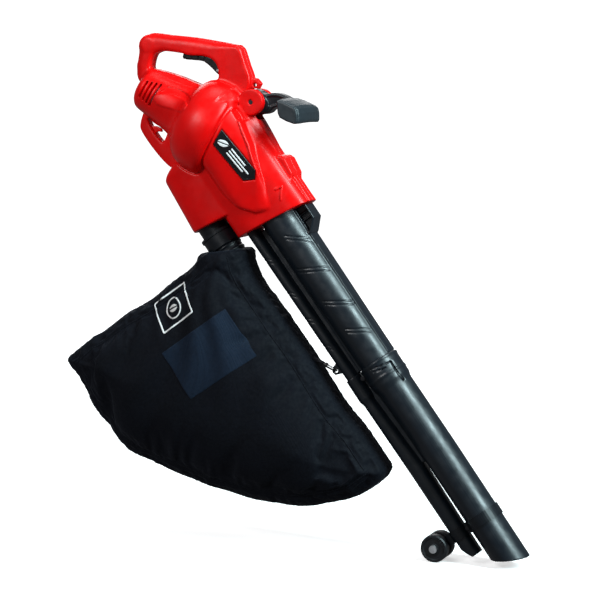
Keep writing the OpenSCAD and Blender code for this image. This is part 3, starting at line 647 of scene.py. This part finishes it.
def woven(name, color, tint, threads=1500.0, depth=0.00016, crease=0.0008, sheen=0.03):
    """Woven polyester: two crossed thread directions, soft creases and a light sheen."""
    f = Finish(name, 0.72)
    slope = math.atan2(AXIS_X[2], AXIS_X[0])
    turned = f.stretch((1.0, 1.0, 1.0), (0.0, slope, 0.0))
    axes = f.node("ShaderNodeSeparateXYZ", (("Vector", turned),)).node.outputs
    warp, across, weft = (f.maths("SINE", f.maths("MULTIPLY", axes[i], threads * math.pi), 0.0)
                          for i in range(3))
    weave = f.maths("ADD", f.maths("MULTIPLY", warp, weft), f.maths("MULTIPLY", across, 0.5))
    cloud = f.noise(14.0, 5.0, 0.6)
    base = f.blend(f.spread(cloud, 0.0, 1.0), color, tint)
    f.feed("Base Color", f.blend(f.spread(weave, 0.0, 0.35, -1.0, 1.0), base, tuple(c * 1.6 for c in tint)))
    folds = f.noise(1.0, 4.0, 0.55, f.stretch((38.0, 38.0, 70.0), (0.2, 0.6, 0.1)))
    soft = f.bump(folds, crease, 0.9)
    f.feed("Normal", f.bump(weave, depth, 0.6, soft))
    f.feed("Roughness", f.spread(f.noise(160.0), 0.66, 0.82))
    f.fix(Sheen_Weight=sheen, Sheen_Roughness=0.45, Specular_IOR_Level=0.12, Sheen_Tint=(0.6, 0.72, 1.0, 1.0))
    return f.material


RED = (0.72, 0.0012, 0.0012)
FINISHES = {
    "red_plastic": moulded("red_plastic", RED, 0.34, 0.00004, scuffs=0.06, coat=0.03, specular=0.2),
    "black_plastic": moulded("black_plastic", (0.0035, 0.005, 0.0075), 0.34),
    "tube_plastic": moulded("tube_plastic", (0.0025, 0.0055, 0.0095), 0.36, 0.00004, 0.03, specular=0.5),
    "grip_rubber": rubbery("grip_rubber", (0.010, 0.016, 0.021), 0.42, 700.0, 0.00012),
    "plate": moulded("plate", (0.006, 0.006, 0.007), 0.24, 0.00002, 0.05),
    "bag_fabric": woven("bag_fabric", (0.0008, 0.0013, 0.0030), (0.0016, 0.0024, 0.0052)),
    "webbing": woven("webbing", (0.006, 0.006, 0.008), (0.014, 0.014, 0.018), 900.0, 0.0003, 0.0002),
    "wheel_rubber": rubbery("wheel_rubber", (0.0035, 0.004, 0.006), 0.46, 420.0, 0.0001),
    "steel": metal("steel", (0.55, 0.56, 0.58), 0.32),
    "bright_steel": metal("bright_steel", (0.9, 0.92, 0.95), 0.36),
    "copper": metal("copper", (0.62, 0.28, 0.12), 0.36, (2600.0, 2600.0, 2600.0)),
    "brass": metal("brass", (0.68, 0.5, 0.2), 0.3),
    "board": moulded("board", (0.02, 0.13, 0.05), 0.35),
    "aluminium": metal("aluminium", (0.6, 0.61, 0.62), 0.42, (500.0, 500.0, 500.0)),
    "grey_plastic": moulded("grey_plastic", (0.2, 0.21, 0.22), 0.5),
}
PRINT_WHITE = moulded("white_print", (0.8, 0.8, 0.8), 0.5, 0.00003, 0.05)
BAG_PATCH = woven("patch_fabric", (0.0042, 0.0095, 0.020), (0.0055, 0.0115, 0.024), 1100.0, 0.0002, 0.0003)
BAG_EDGE = woven("binding_fabric", (0.0016, 0.0022, 0.004), (0.003, 0.004, 0.007), 1200.0, 0.0003, 0.0002)


def dress(obj, body, slot, material=None, nodes=()):
    """Gives a piece its finish, its body and the CAD nodes that it stands for."""
    obj.data.materials.clear()
    obj.data.materials.append(material or FINISHES[slot])
    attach(obj, body)
    if nodes:
        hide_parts(*nodes)
    return obj


def piece(name, grid, d, body, slot, mirrored=False):
    """A sculpted piece that takes the place of the CAD node of its name."""
    return dress(sculpt(name, grid, d, mirrored), body, slot, nodes=[name])


slot_of = {part["node"]: part["material_slot"] for part in record["subparts"]}
BLACK_STEEL = metal("black_steel", (0.05, 0.05, 0.055), 0.4)
DARK_FIXINGS = ("pivot_bolt", "tube_screws", "bracket_screw")
for node_name, node_object in frame["nodes"].items():
    finish = BLACK_STEEL if node_name in DARK_FIXINGS else FINISHES[slot_of[node_name]]
    node_object.data.materials.clear()
    node_object.data.materials.append(finish)

# ---- housing halves
grid = Grid((-600, -100, -112), (-130, 3, 192), 1.7)
base, drum_t, drum_n = housing_field(grid)
base = housing_cuts(grid, base, drum_t, drum_n)
base = smax(base, grid.y + 0.12, 0.8)
# the near half, with the pivot bolt's hole and the name plate's seat
near = cut(base, bar(grid, *PIVOT, 4.6, -60, -22, 0.8), 0.8)
seat = side_view(grid, PLATE)
near = sink_panel(near, smax(seat - 0.8, 30 - grid.ay, 1.0), 2.2, 0.6)
piece("housing_right", grid, near, "root", "red_plastic")
# the far half, drawn on the near side and mirrored, with the pivot nut's seat and the mode lever's hole
far = cut(base, bar(grid, *PIVOT, 21, -70, -30.05, 0.8), 0.8)
far = cut(far, bar(grid, -236, -27, 6.6, -90, -20, 0.5), 0.8)
piece("housing_left", grid, far, "root", "red_plastic", mirrored=True)
del base, near, far, drum_t, drum_n

# ---- name plate and its mark
grid = Grid((-346, -92, 48), (-218, -44, 100), 1.1)
skin = housing_field(grid)[0]
outline = side_view(grid, PLATE)
plate = smax(smax(skin - 0.4, -(skin + 2.1), 0.4), outline + 0.3, 0.8)
rim = smax(np.abs(skin) - 0.9, np.abs(outline + 1.6) - 0.8, 0.5)
piece("name_plate", grid, smin(plate, rim, 0.4), "root", "plate")


def leaf(px, pz, x, z, length, turn):
    """Side-view distance to a leaf: two arcs that meet in points, with its midrib left out."""
    a = math.radians(turn)
    u = (px - x) * math.cos(a) + (pz - z) * math.sin(a)
    v = -(px - x) * math.sin(a) + (pz - z) * math.cos(a)
    r, half = length * 0.62, length * 0.27
    side = np.maximum(np.sqrt(u ** 2 + (v - r + half) ** 2) - r, np.sqrt(u ** 2 + (v + r - half) ** 2) - r)
    return np.maximum(side, 0.045 * length - np.abs(v) - 0.02 * np.maximum(u, 0))


grid = Grid((-331, -86, 62), (-238, -48, 92), 0.6)
skin = housing_field(grid)[0]
mark = leaf(grid.x, grid.z, -315, 74, 24, 35)
bar_start = -296
for z0, x1 in ((69.0, -252), (75.0, -242), (81.0, -258)):
    e = np.clip(grid.x, bar_start, x1)
    rise = z0 + (grid.x - bar_start) * 0.06
    mark = np.minimum(mark, np.sqrt((grid.x - e) ** 2 + (grid.z - rise) ** 2) - 1.5)
dress(sculpt("plate_mark", grid, smax(np.abs(skin - 0.5) - 0.5, mark, 0.2)), "root", "plate", PRINT_WHITE)

# ---- cable hook
grid = Grid((-485, -16, -90), (-335, 16, -8), 1.5)
outer = side_view(grid, [(-478, -44), (-476, -52), (-462, -72), (-446, -80), (-400, -79), (-360, -72),
                         (-346, -60), (-342, -36), (-372, -22), (-398, -14), (-412, -22), (-430, -34),
                         (-452, -40), (-468, -38)], 4)
hole = side_view(grid, [(-457, -55), (-457, -50), (-448, -50), (-430, -42), (-417, -36), (-411, -40),
                        (-405, -53), (-412, -57), (-440, -58)], 3)
tooth = side_view(grid, [(-443, -60), (-440, -52), (-434, -47), (-426, -45), (-423, -48), (-427, -52),
                         (-431, -60)], 3)
tooth = smax(tooth, grid.ay - 4, 2.0)
hook = smax(smax(outer, -hole, 2.5), grid.ay - 11, 5.0)
hook = smin(hook, tooth, 2.0)
hook = smax(hook, -(revolve(grid, DRUM, FAN, TILT) + 2.0), 0.6)
piece("cable_hook", grid, hook, "root", "red_plastic")

# ---- trigger
grid = Grid((-524, -12, 64), (-434, 12, 138), 1.1)
paddle = smax(side_view(grid, TRIGGER, 3), grid.ay - TRIGGER_HALF, 3.0)
for i in range(4):
    groove = np.abs((grid.x - (-505 + 9 * i)) * 0.74 + (grid.z - (78 + 10 * i)) * 0.67) - 0.9
    paddle = sink_panel(paddle, groove, 0.7, 0.4)
piece("trigger", grid, paddle, "trigger", "black_plastic")

# ---- front handle
grid = Grid((-382, -20, 122), (-300, 20, 214), 1.3)
hub_half = EAR_IN - 0.3
hub = bar(grid, *PIVOT, 23.8, -hub_half, hub_half, 2.0)
hub = smin(hub, bar(grid, PIVOT[0] + 14, PIVOT[1] + 10, 13.5, -hub_half, hub_half, 2.0), 5.0)
arm = side_view(grid, [(-358, 160), (-353, 176), (-346, 190), (-336, 201), (-322, 209), (-305, 214),
                       (-303, 199), (-312, 192), (-319, 184), (-322, 173), (-321, 160), (-330, 148)], 4)
arm = smax(arm, grid.ay - 14, 3.5)
hollow = side_view(grid, [(-347, 168), (-343, 182), (-334, 194), (-323, 201), (-314, 204), (-314, 197),
                          (-323, 188), (-328, 176), (-332, 166)], 3)
arm = sink_panel(arm, hollow, 1.2, 1.5)
arm = smin(hub, arm, 6.0)
arm = cut(arm, bar(grid, *PIVOT, 4.1, -30, 30, 0.3), 0.4)
piece("front_handle_arm", grid, arm, "front_handle", "black_plastic")

grid = Grid((-326, -60, 182), (-256, 60, 236), 1.25)
droop = 4.0 * (grid.ay / 56) ** 2 - 1.5
section = smooth_outline([(-321, 208), (-317, 202), (-308, 196.5), (-291, 190.5), (-265, 207),
                          (-262.5, 214), (-268, 220), (-284, 228.5), (-300, 222)], 2)
# the section's distances are worked out once, in half millimetres, and carried along the drooping grip
table_x, table_z, pitch = -330, 170.0, 0.5
section_table = poly_distance(section, np.arange(table_x, -248, pitch, dtype=np.float32)[:, None],
                              np.arange(table_z, 244, pitch, dtype=np.float32)[None, :])
grip = lookup(section_table, (grid.x - table_x) / pitch, (grid.z + droop - table_z) / pitch)
grip = grip + np.interp(grid.ay, [0, 40, 58], [0.0, 0.2, 1.0]).astype(np.float32)
grip = smax(grip, grid.ay - 58, 3.0)
grip = sink_panel(grip, np.abs(grid.ay - 51.5) - 0.8, 1.4, 0.4)
for place in (8, 16, 24, 32, 40):
    groove = smax(np.abs(grid.ay - place) - 1.3, grid.z - 204, 1.0)
    grip = sink_panel(grip, groove, 1.1, 0.5)
piece("front_handle_grip", grid, grip, "front_handle", "grip_rubber")


# ---- tubes
def marks(g, d, lines, depth=1.1, half=1.15):
    """Slanted double grooves, as the moulded marks along the tubes."""
    for (x0, z0), (x1, z1) in lines:
        for shift in (0.0, 8.0):
            d = sink_panel(d, from_line(g, (x0 + shift, z0), (x1 + shift, z1)) - half, depth, 0.4)
    return d


def between(g, x0, x1, top0, top1, half=7.0):
    """The web that joins the two tubes, thinner than both, which leaves a dark groove."""
    top = along(g.x, [(x0, top0), (x1, top1)])
    web = smax(np.maximum(4 - g.z, g.z - top), g.ay - half, 1.0)
    web = smax(web, np.maximum(x0 - g.x, g.x - x1), 1.0)
    line = smax(np.abs(g.z - top + 9) - 0.9, half - 1.2 - g.ay, 0.3)
    return smax(web, -line, 0.4)


grid = Grid((-200, -48, -18), (226, 48, 128), (1.6, 1.5, 1.5))
suction = tube_form(grid, SUCTION_UP)
deck = smax(smax(grid.z - 99.4, 70 - grid.z, 0.5), grid.ay - 18, 0.8)
deck = smax(deck, -142 - grid.x, 1.0)
suction = smin(suction, smax(deck, grid.x - 178, 0.5), 0.8)
suction = marks(grid, suction, [((-110, 62), (-84, 92)), ((-47, 42), (-18, 93)), ((32, 52), (60, 94)),
                                ((100, 60), (122, 94))])
strip = np.abs(grid.ay - 15.5) - 0.7
suction = sink_panel(suction, smax(strip, 97 - grid.z, 0.3), 0.7, 0.3)
# the latch, with a ribbed pocket in each side
latch = side_view(grid, [(-146, 78), (-139, 123.5), (-109, 123.5), (-88, 102), (-86, 78)])
latch = smax(latch, grid.ay - 20, 2.5)
pocket = side_view(grid, [(-142, 92), (-139, 112), (-132, 119.5), (-112, 119.5), (-102, 110), (-92, 99),
                          (-98, 93), (-122, 90)], 3)
pocket = smax(pocket, 8 - grid.ay, 0.8)
for x0 in (-128, -116):
    pocket = smax(pocket, -smax(np.abs(grid.x - x0) - 1.6, grid.ay - 12, 0.5), 0.5)
latch = cut(latch, pocket, 1.0)
suction = smin(suction, smax(latch, 92 - grid.z, 1.0), 1.2)
blow = marks(grid, tube_form(grid, BLOW_UP, 0, 2.3), [((-105, -11), (-88, 9)), ((-28, -9), (-10, 10)),
                                                      ((32, -8), (50, 12)), ((95, -6), (112, 14))], 0.7)
tube = smin(smin(suction, blow, 1.0), between(grid, -149, 178, 32, 32), 1.2)
# a short bore at each end of both tubes; the rest, which is never seen, is left solid
WALL = 2.6
solid = 190 - np.abs(grid.x - 17)
for stations, squareness in ((SUCTION_UP, 2.0), (BLOW_UP, 2.3)):
    tube = cut(tube, smax(tube_form(grid, stations, -WALL, squareness), solid, 0.3), 0.3)
tube = smax(tube, np.maximum(-188 - grid.x, grid.x - 221), 0.5)
piece("upper_tube", grid, tube, "root", "tube_plastic")

SUCTION_DOWN = [(170, 39, 35.2, 65), (222, 39, 35.2, 65), (260, 38.6, 34.6, 66), (390, 37.4, 33, 69),
                (650, 36, 32.3, 69.2)]
BLOW_DOWN = [(170, 22, 13, 7), (222, 22, 13, 7), (390, 21, 16.9, 13.4), (515, 20, 15.4, 12.8),
             (560, 20, 15.3, 13), (600, 19.6, 15, 13.5)]
grid = Grid((176, -46, -10), (646, 46, 108), (2.5, 1.5, 1.5))
suction = tube_form(grid, SUCTION_DOWN)
step = along(grid.x, [(222, 2.9), (226, 2.9), (236, 0.0)])
sleeve = smax(tube_form(grid, SUCTION_DOWN, 2.9), grid.x - 226, 1.0)
taper = smax(oval(grid.y, grid.z - 65.3, 39 + step, 35 + step, 2.0), grid.x - 237, 0.6)
suction = smin(suction, smin(sleeve, taper, 0.6), 0.8)
for x0 in (183.5, 213.0):
    lip = np.maximum(np.abs(grid.x - x0) - 2.2, tube_form(grid, SUCTION_DOWN, 4.3))
    suction = smin(suction, smax(lip, grid.x - 236, 0.5), 0.8)
# the L-shaped slot round the snap, and the pad that it frees
for start, end in (((189, 58), (197, 95)), ((197, 95), (238, 94)), ((196, 60), (202, 84))):
    suction = sink_panel(suction, from_line(grid, start, end) - 1.2, 1.7, 0.4)
# a fine ledge along the side, where the mould halves meet
ledge = np.abs(grid.z - along(grid.x, [(236, 41), (620, 47)])) - 0.6
suction = sink_panel(suction, smax(ledge, 240 - grid.x, 1.0), 0.5, 0.3)
blow = tube_form(grid, BLOW_DOWN, 0, 2.4)
blow = smin(blow, smax(oval(grid.y, grid.z - 7, 22 + step, 13 + step, 2.3), grid.x - 237, 0.6), 0.8)
foot = smax(grid.x - 582, (grid.x - 582) * 0.54 - (grid.z - 14) * 0.84, 1.0)
blow = smax(blow, foot, 1.0)
tube = smin(smin(suction, blow, 1.0), between(grid, 180, 386, 42, 42), 1.2)
tube = smin(tube, bar(grid, 193, 29, 5.2, -24, 24, 1.0), 1.0)
# wide bores up to x 222, where the upper length plugs in, and walls of their own beyond it
inner = along(grid.x, [(222, 0.35), (223, -WALL)])
for stations, squareness in ((SUCTION_DOWN, 2.0), (BLOW_DOWN, 2.4)):
    tube = cut(tube, tube_form(grid, stations, inner, squareness), 0.3)
tube = smax(tube, (grid.x - 605 - 0.52 * (grid.z - 39)) * 0.887, 0.8)
tube = smax(tube, 180 - grid.x, 0.6)
piece("lower_tube", grid, tube, "root", "tube_plastic")


# ---- bag
BAG = [(-185, -34), (-150, -32), (-135, -31), (-120, -37), (-100, -43), (-60, -45), (0, -45), (100, -41),
       (200, -43), (250, -38), (280, -35), (350, -35), (362, -40), (369, -55), (371, -80), (370, -110),
       (362, -140), (350, -170), (338, -200), (320, -230), (290, -270), (240, -320), (200, -360), (160, -385),
       (120, -420), (80, -448), (40, -468), (0, -476), (-80, -481), (-130, -476), (-172, -476), (-178, -460),
       (-184, -400), (-180, -380), (-178, -310), (-172, -250), (-172, -150), (-178, -120), (-185, -100)]


HEM_CORNER, HEM_RUN = (-183, -108), (43, 80)


def cuff_depth(x, z):
    """Distance below the bag's hem, a straight slanted line."""
    run_x, run_z = HEM_RUN
    return ((x - HEM_CORNER[0]) * run_z - (z - HEM_CORNER[1]) * run_x) / math.hypot(run_x, run_z)


def bag_field(g):
    """Distance to the filled bag, with the folds that its cuff and its weight give it."""
    edge = side_view(g, BAG, 2)
    inward = np.clip(-edge / 165.0, 0.0, 1.0)
    belly = 27 + 57 * (1 - (1 - inward) ** 2.3) ** 0.75
    reach = from_point(g, -187, PORT_Z)
    neck = 33.5 + 0.8 * np.maximum(reach - 6, 0)
    thick = smin(belly, neck, 14.0)
    d = smax(edge, (g.ay - thick) * 0.88, 11.0)
    # gathers round the cuff and long soft creases that run down from it
    near_neck = np.clip(1 - (reach - 20) / 95.0, 0, 1)
    d = d - 1.7 * near_neck * np.sin(g.x * 0.55 + 0.9 * np.sin(g.z * 0.07) + g.ay * 0.03)
    angle = np.arctan2(g.z + 66, g.x + 187)
    fall = np.clip((reach - 60) / 80, 0, 1) * np.clip(1 - (reach - 150) / 330, 0, 1)
    d = d - 2.6 * fall * np.sin(angle * 21 + 1.3 * np.sin(reach * 0.021) + g.y * 0.012)
    d = d + 2.0 * np.exp(-((edge + 26) / 4.0) ** 2) * np.clip((g.ay - 24) / 8, 0, 1)
    # the cuff: a slanted hem with a wider band below it
    below = cuff_depth(g.x, g.z)
    band = np.clip(1 - np.abs(below - 9) / 11, 0, 1) ** 0.5
    d = d - 2.2 * band - 0.9 * band * np.sin(g.z * 0.42 + g.ay * 0.31)
    d = smax(d, -below, 2.0)
    sag = np.clip((-g.z - 150) / 250, 0, 1)
    return d - 2.4 * sag * np.sin(g.x * 0.045 + g.z * 0.03 + 1.1 * np.sin(g.x * 0.017 - g.y * 0.02))


grid = Grid((-192, -96, -492), (382, 96, -22), 5.5)
bag_skin, bag_quads, _ = skin_of(grid, bag_field(grid))
bag = mesh_object("bag", to_row(bag_skin), bag_quads)


def settle_cloth(obj, held, frames=20, limit=0.009):
    """Lets the fabric find its folds between its seams, then keeps the result in the mesh."""
    start = np.empty(len(obj.data.vertices) * 3, np.float32)
    obj.data.vertices.foreach_get("co", start)
    start = start.reshape(-1, 3)
    group = obj.vertex_groups.new(name="seams")
    for i, weight in enumerate(held):
        if weight > 0.01:
            group.add([i], float(weight), "REPLACE")
    cloth = obj.modifiers.new("cloth", "CLOTH")
    values = {"quality": 6, "mass": 0.25, "tension_stiffness": 12, "compression_stiffness": 12,
              "shear_stiffness": 6, "bending_stiffness": 0.35, "use_pressure": True,
              "uniform_pressure_force": 3.0, "shrink_min": -0.07, "vertex_group_mass": "seams"}
    for key, value in values.items():
        setattr(cloth.settings, key, value)
    cloth.settings.effector_weights.gravity = 0.0
    cloth.point_cache.frame_start, cloth.point_cache.frame_end = 1, frames
    scene = bpy.context.scene
    for number in range(1, frames + 1):
        scene.frame_set(number)
    moved = obj.evaluated_get(bpy.context.evaluated_depsgraph_get())
    after = np.empty(len(start) * 3, np.float32)
    moved.data.vertices.foreach_get("co", after)
    obj.modifiers.remove(cloth)
    scene.frame_set(1)
    shift = after.reshape(-1, 3) - start
    length = np.linalg.norm(shift, axis=1, keepdims=True)
    shift *= limit * np.tanh(length / limit) / np.maximum(length, 1e-9)
    obj.data.vertices.foreach_set("co", (start + shift).ravel())
    obj.data.update()
    obj.vertex_groups.clear()


def settled_mesh(obj):
    """The mesh with its modifiers applied."""
    graph = bpy.context.evaluated_depsgraph_get()
    mesh = bpy.data.meshes.new_from_object(obj.evaluated_get(graph))
    obj.modifiers.clear()
    obj.data = mesh


# the pipe that carries the bag's cuff, ribbed so that the hem holds on it
pipe_grid = Grid((-194, -34, -100), (-118, 34, -33), 1.6)
radius = np.sqrt(pipe_grid.y ** 2 + (pipe_grid.z - PORT_Z) ** 2)
pipe_radius, rib_radius, bore_radius = 29.4, 31.0, 26.6
pipe = smax(radius - pipe_radius, np.maximum(-188 - pipe_grid.x, pipe_grid.x + 122), 0.8)
for place in (-176, -164, -152):
    pipe = smin(pipe, smax(radius - rib_radius, np.abs(pipe_grid.x - place) - 1.8, 0.8), 0.8)
pipe = smax(pipe, bore_radius - radius, 0.5)
dress(sculpt("bag_port_pipe", pipe_grid, pipe), "root", "black_plastic")

seam_inset = 26.0
edge_of = poly_distance(smooth_outline(BAG, 2), bag_skin[:, 0], bag_skin[:, 2])
side = np.abs(bag_skin[:, 1]) > 20
held = np.exp(-((edge_of + seam_inset) / 5.0) ** 2) * side
held = np.maximum(held, np.clip((26 - cuff_depth(bag_skin[:, 0], bag_skin[:, 2])) / 8.0, 0, 1))
held = np.maximum(held, np.exp(-((edge_of + 2) / 4.0) ** 2) * 0.9)
settle_cloth(bag, np.clip(held, 0, 1))
smoother = bag.modifiers.new("smooth", "SUBSURF")
smoother.levels = smoother.render_levels = 1
settled_mesh(bag)
bag.data.polygons.foreach_set("use_smooth", np.ones(len(bag.data.polygons), bool))
dress(bag, "root", "bag_fabric", nodes=["bag"])
bag_tree = BVHTree.FromObject(bag, bpy.context.evaluated_depsgraph_get())


def bag_side(x, z, near=True):
    """Height y of the bag's near or far side at a device place, or None."""
    origin = to_row([x, -200.0 if near else 200.0, z])
    hit = bag_tree.ray_cast(Vector(origin), Vector((0, 1 if near else -1, 0)))
    return None if hit[0] is None else hit[0].y * 1000.0


def bag_heights(low, high, pitch=4.0):
    """The near side's heights on a lattice, and a function that gives them at any x and z."""
    xs = np.arange(low[0], high[0] + pitch, pitch)
    zs = np.arange(low[1], high[1] + pitch, pitch)
    table = np.array([[bag_side(x, z) or 0.0 for z in zs] for x in xs], np.float32)

    def height(px, pz):
        fx = np.clip((px - xs[0]) / pitch, 0, len(xs) - 1.001)
        fz = np.clip((pz - zs[0]) / pitch, 0, len(zs) - 1.001)
        return lookup(table, fx, fz)

    return table, height


def applique(name, low, high, mask, lift, cell, material, sunk=1.2):
    """A flat piece that lies on the bag's near side, with its outline from mask(grid)."""
    table, height = bag_heights(low, high)
    room = 3
    outer, inner = float(table.min()) - lift - room, float(table.max()) + sunk + room
    g = Grid((low[0], outer, low[1]), (high[0], inner, high[1]), (cell, 0.8 * cell, cell))
    over = height(g.x, g.z) - g.y
    d = smax(np.maximum(over - lift, -over - sunk) * 0.85, mask(g), 0.5)
    return dress(sculpt(name, g, d), "root", "bag_fabric", material)


def box2d(g, x, z, a, b, r):
    """Distance in the side view to a box with half sides a and b and corners of radius r."""
    qx, qz = np.abs(g.x - x) - a + r, np.abs(g.z - z) - b + r
    return (np.sqrt(np.maximum(qx, 0) ** 2 + np.maximum(qz, 0) ** 2)
            + np.minimum(np.maximum(qx, qz), 0) - r)


def window_mask(g):
    """The blue patch."""
    return side_view(g, [(-61, -107), (48, -105), (43, -262), (-62, -262)])


def emblem_mask(g):
    """A frame round a ring with a leaf in it."""
    x, z = -123, -201
    border = np.abs(box2d(g, x, z, 31, 38, 2)) - 1.9
    ring = np.abs(from_point(g, x, z) - 19) - 1.6
    return np.minimum(np.minimum(border, ring), leaf(g.x, g.z, x, z, 27, 80))


applique("bag_patch", (-66, -268), (54, -100), window_mask, 0.7, 1.5, BAG_PATCH)
applique("bag_emblem", (-160, -246), (-86, -156), emblem_mask, 0.6, 1.0, PRINT_WHITE)


def stitched_seam(name, points, near, radius=1.3, pitch=5.0):
    """A thin welt along the seam, in short stitches, on one side of the bag."""
    path = []
    for x, z in points:
        y = bag_side(x, z, near)
        if y is not None:
            path.append((x, y, z))
    path = np.array(path)
    step = np.r_[0, np.cumsum(np.linalg.norm(np.diff(path, axis=0), axis=1))]
    at = np.arange(0, step[-1], 1.25)
    path = np.stack([np.interp(at, step, path[:, i]) for i in range(3)], -1)
    for _ in range(4):
        path[1:-1] = (path[:-2] + 2 * path[1:-1] + path[2:]) / 4
    along_path = np.gradient(path, axis=0)
    along_path /= np.linalg.norm(along_path, axis=1, keepdims=True)
    out = np.tile([0.0, -1.0 if near else 1.0, 0.0], (len(path), 1))
    across = np.cross(along_path, out)
    across /= np.linalg.norm(across, axis=1, keepdims=True)
    up = np.cross(across, along_path)
    size = radius * (0.72 + 0.28 * np.abs(np.sin(math.pi * at / pitch)))
    size[0] = size[-1] = 0.2
    sides = 6
    ring = [path + size[:, None] * (math.cos(2 * math.pi * k / sides) * across
                                    + math.sin(2 * math.pi * k / sides) * up) for k in range(sides)]
    points = np.stack(ring, 1).reshape(-1, 3)
    n = len(path)
    faces = [(i + k, i + (k + 1) % sides, i + sides + (k + 1) % sides, i + sides + k)
             for i in range(0, (n - 1) * sides, sides) for k in range(sides)]
    faces += [tuple(range(sides))[::-1], tuple((n - 1) * sides + k for k in range(sides))]
    return dress(mesh_object(name, to_row(points), faces), "root", "bag_fabric", BAG_EDGE)


def inset_line(points, inset):
    """The outline moved inwards, without the places where it would fold over itself or cross the cuff."""
    p = smooth_outline(points, 4)
    t = np.roll(p, -1, 0) - np.roll(p, 1, 0)
    t /= np.linalg.norm(t, axis=1, keepdims=True)
    moved = p + inset * np.stack([t[:, 1], -t[:, 0]], -1)
    depth = poly_distance(p, moved[:, 0].astype(np.float32), moved[:, 1].astype(np.float32))
    even = np.abs(depth + inset) < 0.2 * inset
    return moved[even & ((moved[:, 0] > -150) | (moved[:, 1] < -150))]


seam = inset_line(BAG, seam_inset)
stitched_seam("bag_seam_right", seam, True)
stitched_seam("bag_seam_left", seam, False)

# webbing tab from the bag to the snap hook
grid = Grid((92, -11, -52), (130, 11, -24), 0.9)
tab = side_view(grid, [(95, -50), (103, -40), (109, -37.2), (124.4, -28.9), (125.4, -31.1), (111, -39.4),
                       (101, -50)])
tab = smax(tab, grid.ay - 7.8, 0.8)
for place in (4.6, 6.2):
    tab = sink_panel(tab, np.abs(grid.ay - place) - 0.45, 0.5, 0.3)
piece("bag_strap", grid, tab, "root", "webbing")

# ---- floor, lights, camera
floor_z = float(cad_lo[2])
# a wide bowl: flat under the model, curving up far away, so that every view has the same pale ground
flat, bend, top = 10.0, 3.0, 12.0
profile = [(2.0, 0.0), (6.0, 0.0), (flat, 0.0)]
profile += [(flat + bend * math.sin(a), bend - bend * math.cos(a))
            for a in np.linspace(0.15, math.pi / 2, 10)]
profile += [(flat + bend, top)]
turns = 96
circle = [(math.cos(2 * math.pi * k / turns), math.sin(2 * math.pi * k / turns)) for k in range(turns)]
verts = [(0.0, 0.0, floor_z)]
for r, z in profile:
    verts += [(r * c, r * s, floor_z + z) for c, s in circle]
faces = [(0, 1 + k, 1 + (k + 1) % turns) for k in range(turns)]
faces += [(1 + i + k, 1 + i + turns + k, 1 + i + turns + (k + 1) % turns, 1 + i + (k + 1) % turns)
          for i in range(0, (len(profile) - 1) * turns, turns) for k in range(turns)]
floor = mesh_object("floor", verts, faces)
paper = Finish("paper", 0.9)
paper.feed("Base Color", paper.blend(paper.noise(2.0), (0.9, 0.9, 0.9), (0.93, 0.93, 0.93)))
paper.fix(Emission_Color=(1.0, 1.0, 1.0, 1.0))
away = paper.node("ShaderNodeVectorMath", ((0, paper.place),), out=1, operation="LENGTH")
paper.feed("Emission Strength", paper.spread(away, 0.55, 1.0, 1.2, 4.0))
floor.data.materials.append(paper.material)
floor.visible_glossy = False
floor.visible_diffuse = False
floor.visible_shadow = False

# the point that the camera and the lights look at
target = Vector((0.2092, 0.0, -0.4784))


def softbox(name, place, size, power, tint=(1.0, 1.0, 1.0)):
    """A rectangular lamp that points at the target."""
    light = bpy.data.lights.new(name, "AREA")
    light.shape = "RECTANGLE"
    light.size, light.size_y = size
    light.energy = power
    light.color = tint
    obj = add_object(name, light)
    obj.location = place
    obj.rotation_euler = (target - Vector(place)).to_track_quat("-Z", "Y").to_euler()


softbox("key", (-0.9, -2.9, 1.4), (1.3, 1.3), 60)
softbox("side", (2.4, -0.6, 1.3), (0.6, 2.4), 180, (0.72, 0.96, 1.0))
softbox("back", (-1.6, 3.0, 0.9), (2.4, 1.8), 34)
softbox("top", (0.2, 0.4, 3.0), (1.6, 1.6), 27)
world = bpy.data.worlds.new("studio")
world.use_nodes = True
background = world.node_tree.nodes["Background"].inputs
background["Color"].default_value = (0.95, 0.97, 1.0, 1.0)
background["Strength"].default_value = 0.16
bpy.context.scene.world = world
bpy.context.scene.view_settings.view_transform = "Standard"

camera = bpy.data.cameras.new("camera")
camera.lens = 126.3
camera_object = add_object("camera", camera)
azimuth, elevation, distance = math.radians(22), math.radians(7), 4.0
back = Vector((math.sin(azimuth) * math.cos(elevation), -math.cos(azimuth) * math.cos(elevation),
               math.sin(elevation)))
camera_object.location = target + distance * back
camera_object.rotation_euler = back.to_track_quat("Z", "Y").to_euler()
bpy.context.scene.camera = camera_object
